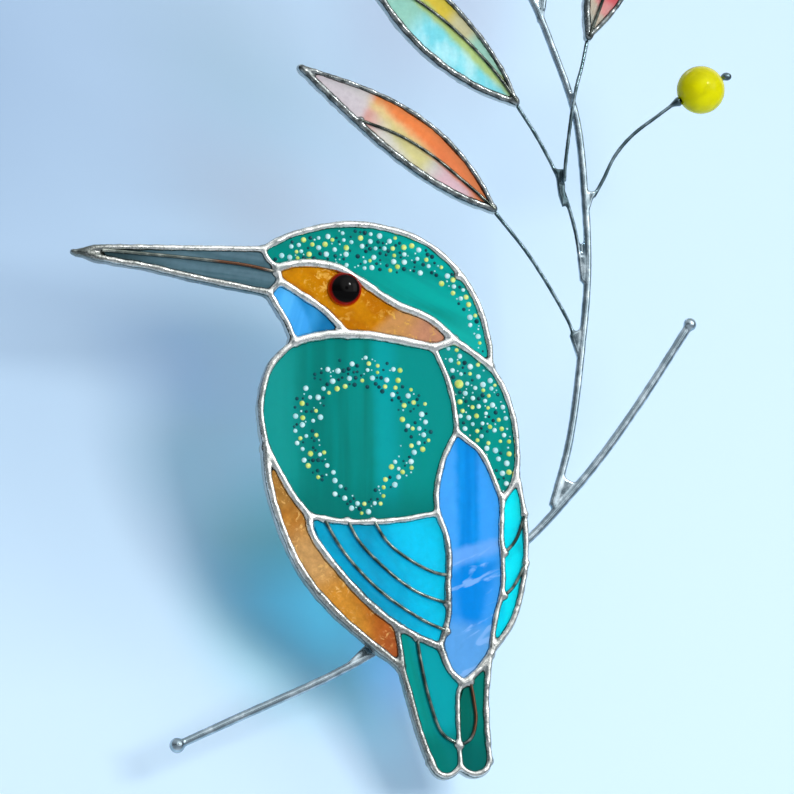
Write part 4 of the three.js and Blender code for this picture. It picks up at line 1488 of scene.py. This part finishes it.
# The room: a large soft light before and behind the object, dim sides and a brighter ceiling
world = {
    "softbox": (1.5, 1.53, 1.53), "toSoftbox": (0.42, 0.80, 0.43), "softboxReach": (46, 22),
    "toLens": (0.205, 0.966, 0.156), "lensHole": (10, 4),  # degrees across a dark place in it
    "onDiffuse": 0.4,  # how much of the room's light reaches what is dull
    "backdrop": (0.60, 0.68, 0.76),  # what the camera sees past the wall
    "sides": (0.17, 0.20, 0.22), "above": (0.7, 0.74, 0.78), "below": (0.12, 0.14, 0.16),
    "sidesFrom": (-0.7, 0.0), "aboveFrom": (0.2, 0.85),  # heights on a ball of radius 1
}


def wallPaint(tree, shader):
    # half shade in one corner, the colour thrown by the glass, and a faint light of the wall's own
    reach, dark = stageLook["wallShade"]
    shade = distanceFrom(tree, *stageLook["wallCorner"])
    shade = band(tree, shade, 0, reach, dark, 1.0, smooth=False)
    castPixel, near, far = stageLook["castAt"]
    cast = throughPixel(*castPixel, stageLook["wallBehind"])
    fromCast = distanceFrom(tree, cast.x, cast.z)
    redLeft = band(tree, fromCast, near / 2, far, stageLook["castRed"], 1.0)
    redPower, bluePower = stageLook["shadeHue"]
    cool = addNode(tree, "CombineColor", {
        "Red": times(tree, calc(tree, "POWER", shade, redPower), redLeft), "Green": shade,
        "Blue": calc(tree, "POWER", shade, bluePower),
    }).outputs[0]
    paint = mixed(tree, 1.0, colour(*stageLook["wall"]), cool, "MULTIPLY")
    tree.links.new(paint, shader.inputs["Color"])
    amount, glowTint = stageLook["glow"]
    glow = addNode(tree, "Emission", {
        "Color": mixed(tree, 1.0, colour(*glowTint), cool, "MULTIPLY"),
        "Strength": band(tree, fromCast, near, far, stageLook["glowAtCast"], amount),
    })
    return addNode(tree, "AddShader", {0: shader.outputs[0], 1: glow.outputs[0]})


def stageMaterial(name, part):
    # seen from its front only, so that the views from behind see past it
    material, tree = newMaterial(name)
    hidden = addNode(tree, "NewGeometry").outputs["Backfacing"]
    shader = addNode(tree, "BsdfDiffuse", {"Color": colour(*stageLook[part])})
    if part == "wall":
        shader = wallPaint(tree, shader)
        edge = distanceFrom(tree, view["target"][0], view["target"][2])
        hidden = calc(tree, "MAXIMUM", hidden, band(tree, edge, *stageLook["wallFade"]))
    clear = addNode(tree, "BsdfTransparent")
    return output(
        material, addNode(tree, "MixShader", {0: hidden, 1: shader.outputs[0], 2: clear.outputs[0]}),
    )


def stagePlane(name, size, location, rotation, material):
    pick()
    bpy.ops.mesh.primitive_plane_add(size=size * mm, location=location, rotation=rotation)
    plane = bpy.context.object
    plane.name = name
    settle(plane)
    plane.data.materials.append(material)


def areaLight(name, spot, size, power, tint, lighting, gleaming):
    light = bpy.data.lights.new(name, "AREA")
    light.shape = "RECTANGLE"
    light.size, light.size_y = size
    light.energy = power
    light.color = tint
    lamp = bpy.data.objects.new(name, light)
    lamp.location = spot
    toMiddle = Vector(view["target"]) * mm - Vector(spot)
    lamp.rotation_euler = toMiddle.to_track_quat("-Z", "Y").to_euler()
    lamp.visible_diffuse = lighting
    lamp.visible_glossy = gleaming
    lamp.visible_transmission = False
    bpy.context.collection.objects.link(lamp)


def cosines(degrees):
    return [math.cos(math.radians(reach)) for reach in degrees]


def buildWorld():
    room = bpy.data.worlds.new("soft room")
    bpy.context.scene.world = room
    room.use_nodes = True
    tree = room.node_tree
    tree.nodes.clear()
    tints = {part: (*world[part], 1) for part in ("softbox", "sides", "above", "below", "backdrop")}
    parts = partsOf(tree, addNode(tree, "TexCoord").outputs["Generated"])
    low = mixed(tree, band(tree, parts["Z"], *world["sidesFrom"]), tints["below"], tints["sides"])
    tint = mixed(tree, band(tree, parts["Z"], *world["aboveFrom"]), low, tints["above"])
    folded = vectorOf(tree, parts["X"], calc(tree, "ABSOLUTE", parts["Y"]), parts["Z"])
    toLens = dotProduct(tree, folded, world["toLens"])
    toSoftbox = dotProduct(tree, folded, world["toSoftbox"])
    hole = band(tree, toLens, *cosines(world["lensHole"]))
    bright = mixed(tree, hole, tints["softbox"], tints["sides"])
    tint = mixed(tree, band(tree, toSoftbox, *cosines(world["softboxReach"])), tint, bright)
    path = addNode(tree, "LightPath").outputs
    tint = mixed(tree, path["Is Camera Ray"], tint, tints["backdrop"])
    strength = band(tree, path["Is Diffuse Ray"], 0, 1, 1.0, world["onDiffuse"], smooth=False)
    background = addNode(tree, "Background", {"Color": tint, "Strength": strength})
    addNode(tree, "OutputWorld", {"Surface": background.outputs[0]})


def buildStage():
    middle = Vector(view["target"]) * mm
    wallPlace = (middle.x, stageLook["wallBehind"] * mm, middle.z)
    floorPlace = (0, 0, -stageLook["floorBelow"] * mm)
    upright = math.radians(90 - stageLook["wallTilt"])
    wall = stageMaterial("pale wall", "wall")
    stagePlane("wall", stageLook["wallSize"], wallPlace, (upright, 0, 0), wall)
    floor = stageMaterial("pale floor", "floor")
    stagePlane("floor", stageLook["floorSize"], floorPlace, (0, 0, 0), floor)
    for name, settings in lights.items():
        areaLight(name, *settings)


def buildCamera():
    _, _, back = viewAxes()
    camera = bpy.data.cameras.new("camera")
    camera.sensor_width = view["sensor"]
    camera.lens = view["sensor"] * view["distance"] / view["frameWidth"]
    camera.clip_start, camera.clip_end = view["clip"]
    eyePoint = bpy.data.objects.new("camera", camera)
    eyePoint.location = (Vector(view["target"]) + back * view["distance"]) * mm
    eyePoint.rotation_euler = (-back).to_track_quat("-Z", "Y").to_euler()
    bpy.context.collection.objects.link(eyePoint)
    bpy.context.scene.camera = eyePoint


buildWorld()
buildStage()
buildCamera()
bpy.context.scene.view_settings.view_transform = "Standard"
print("stage, light and camera")
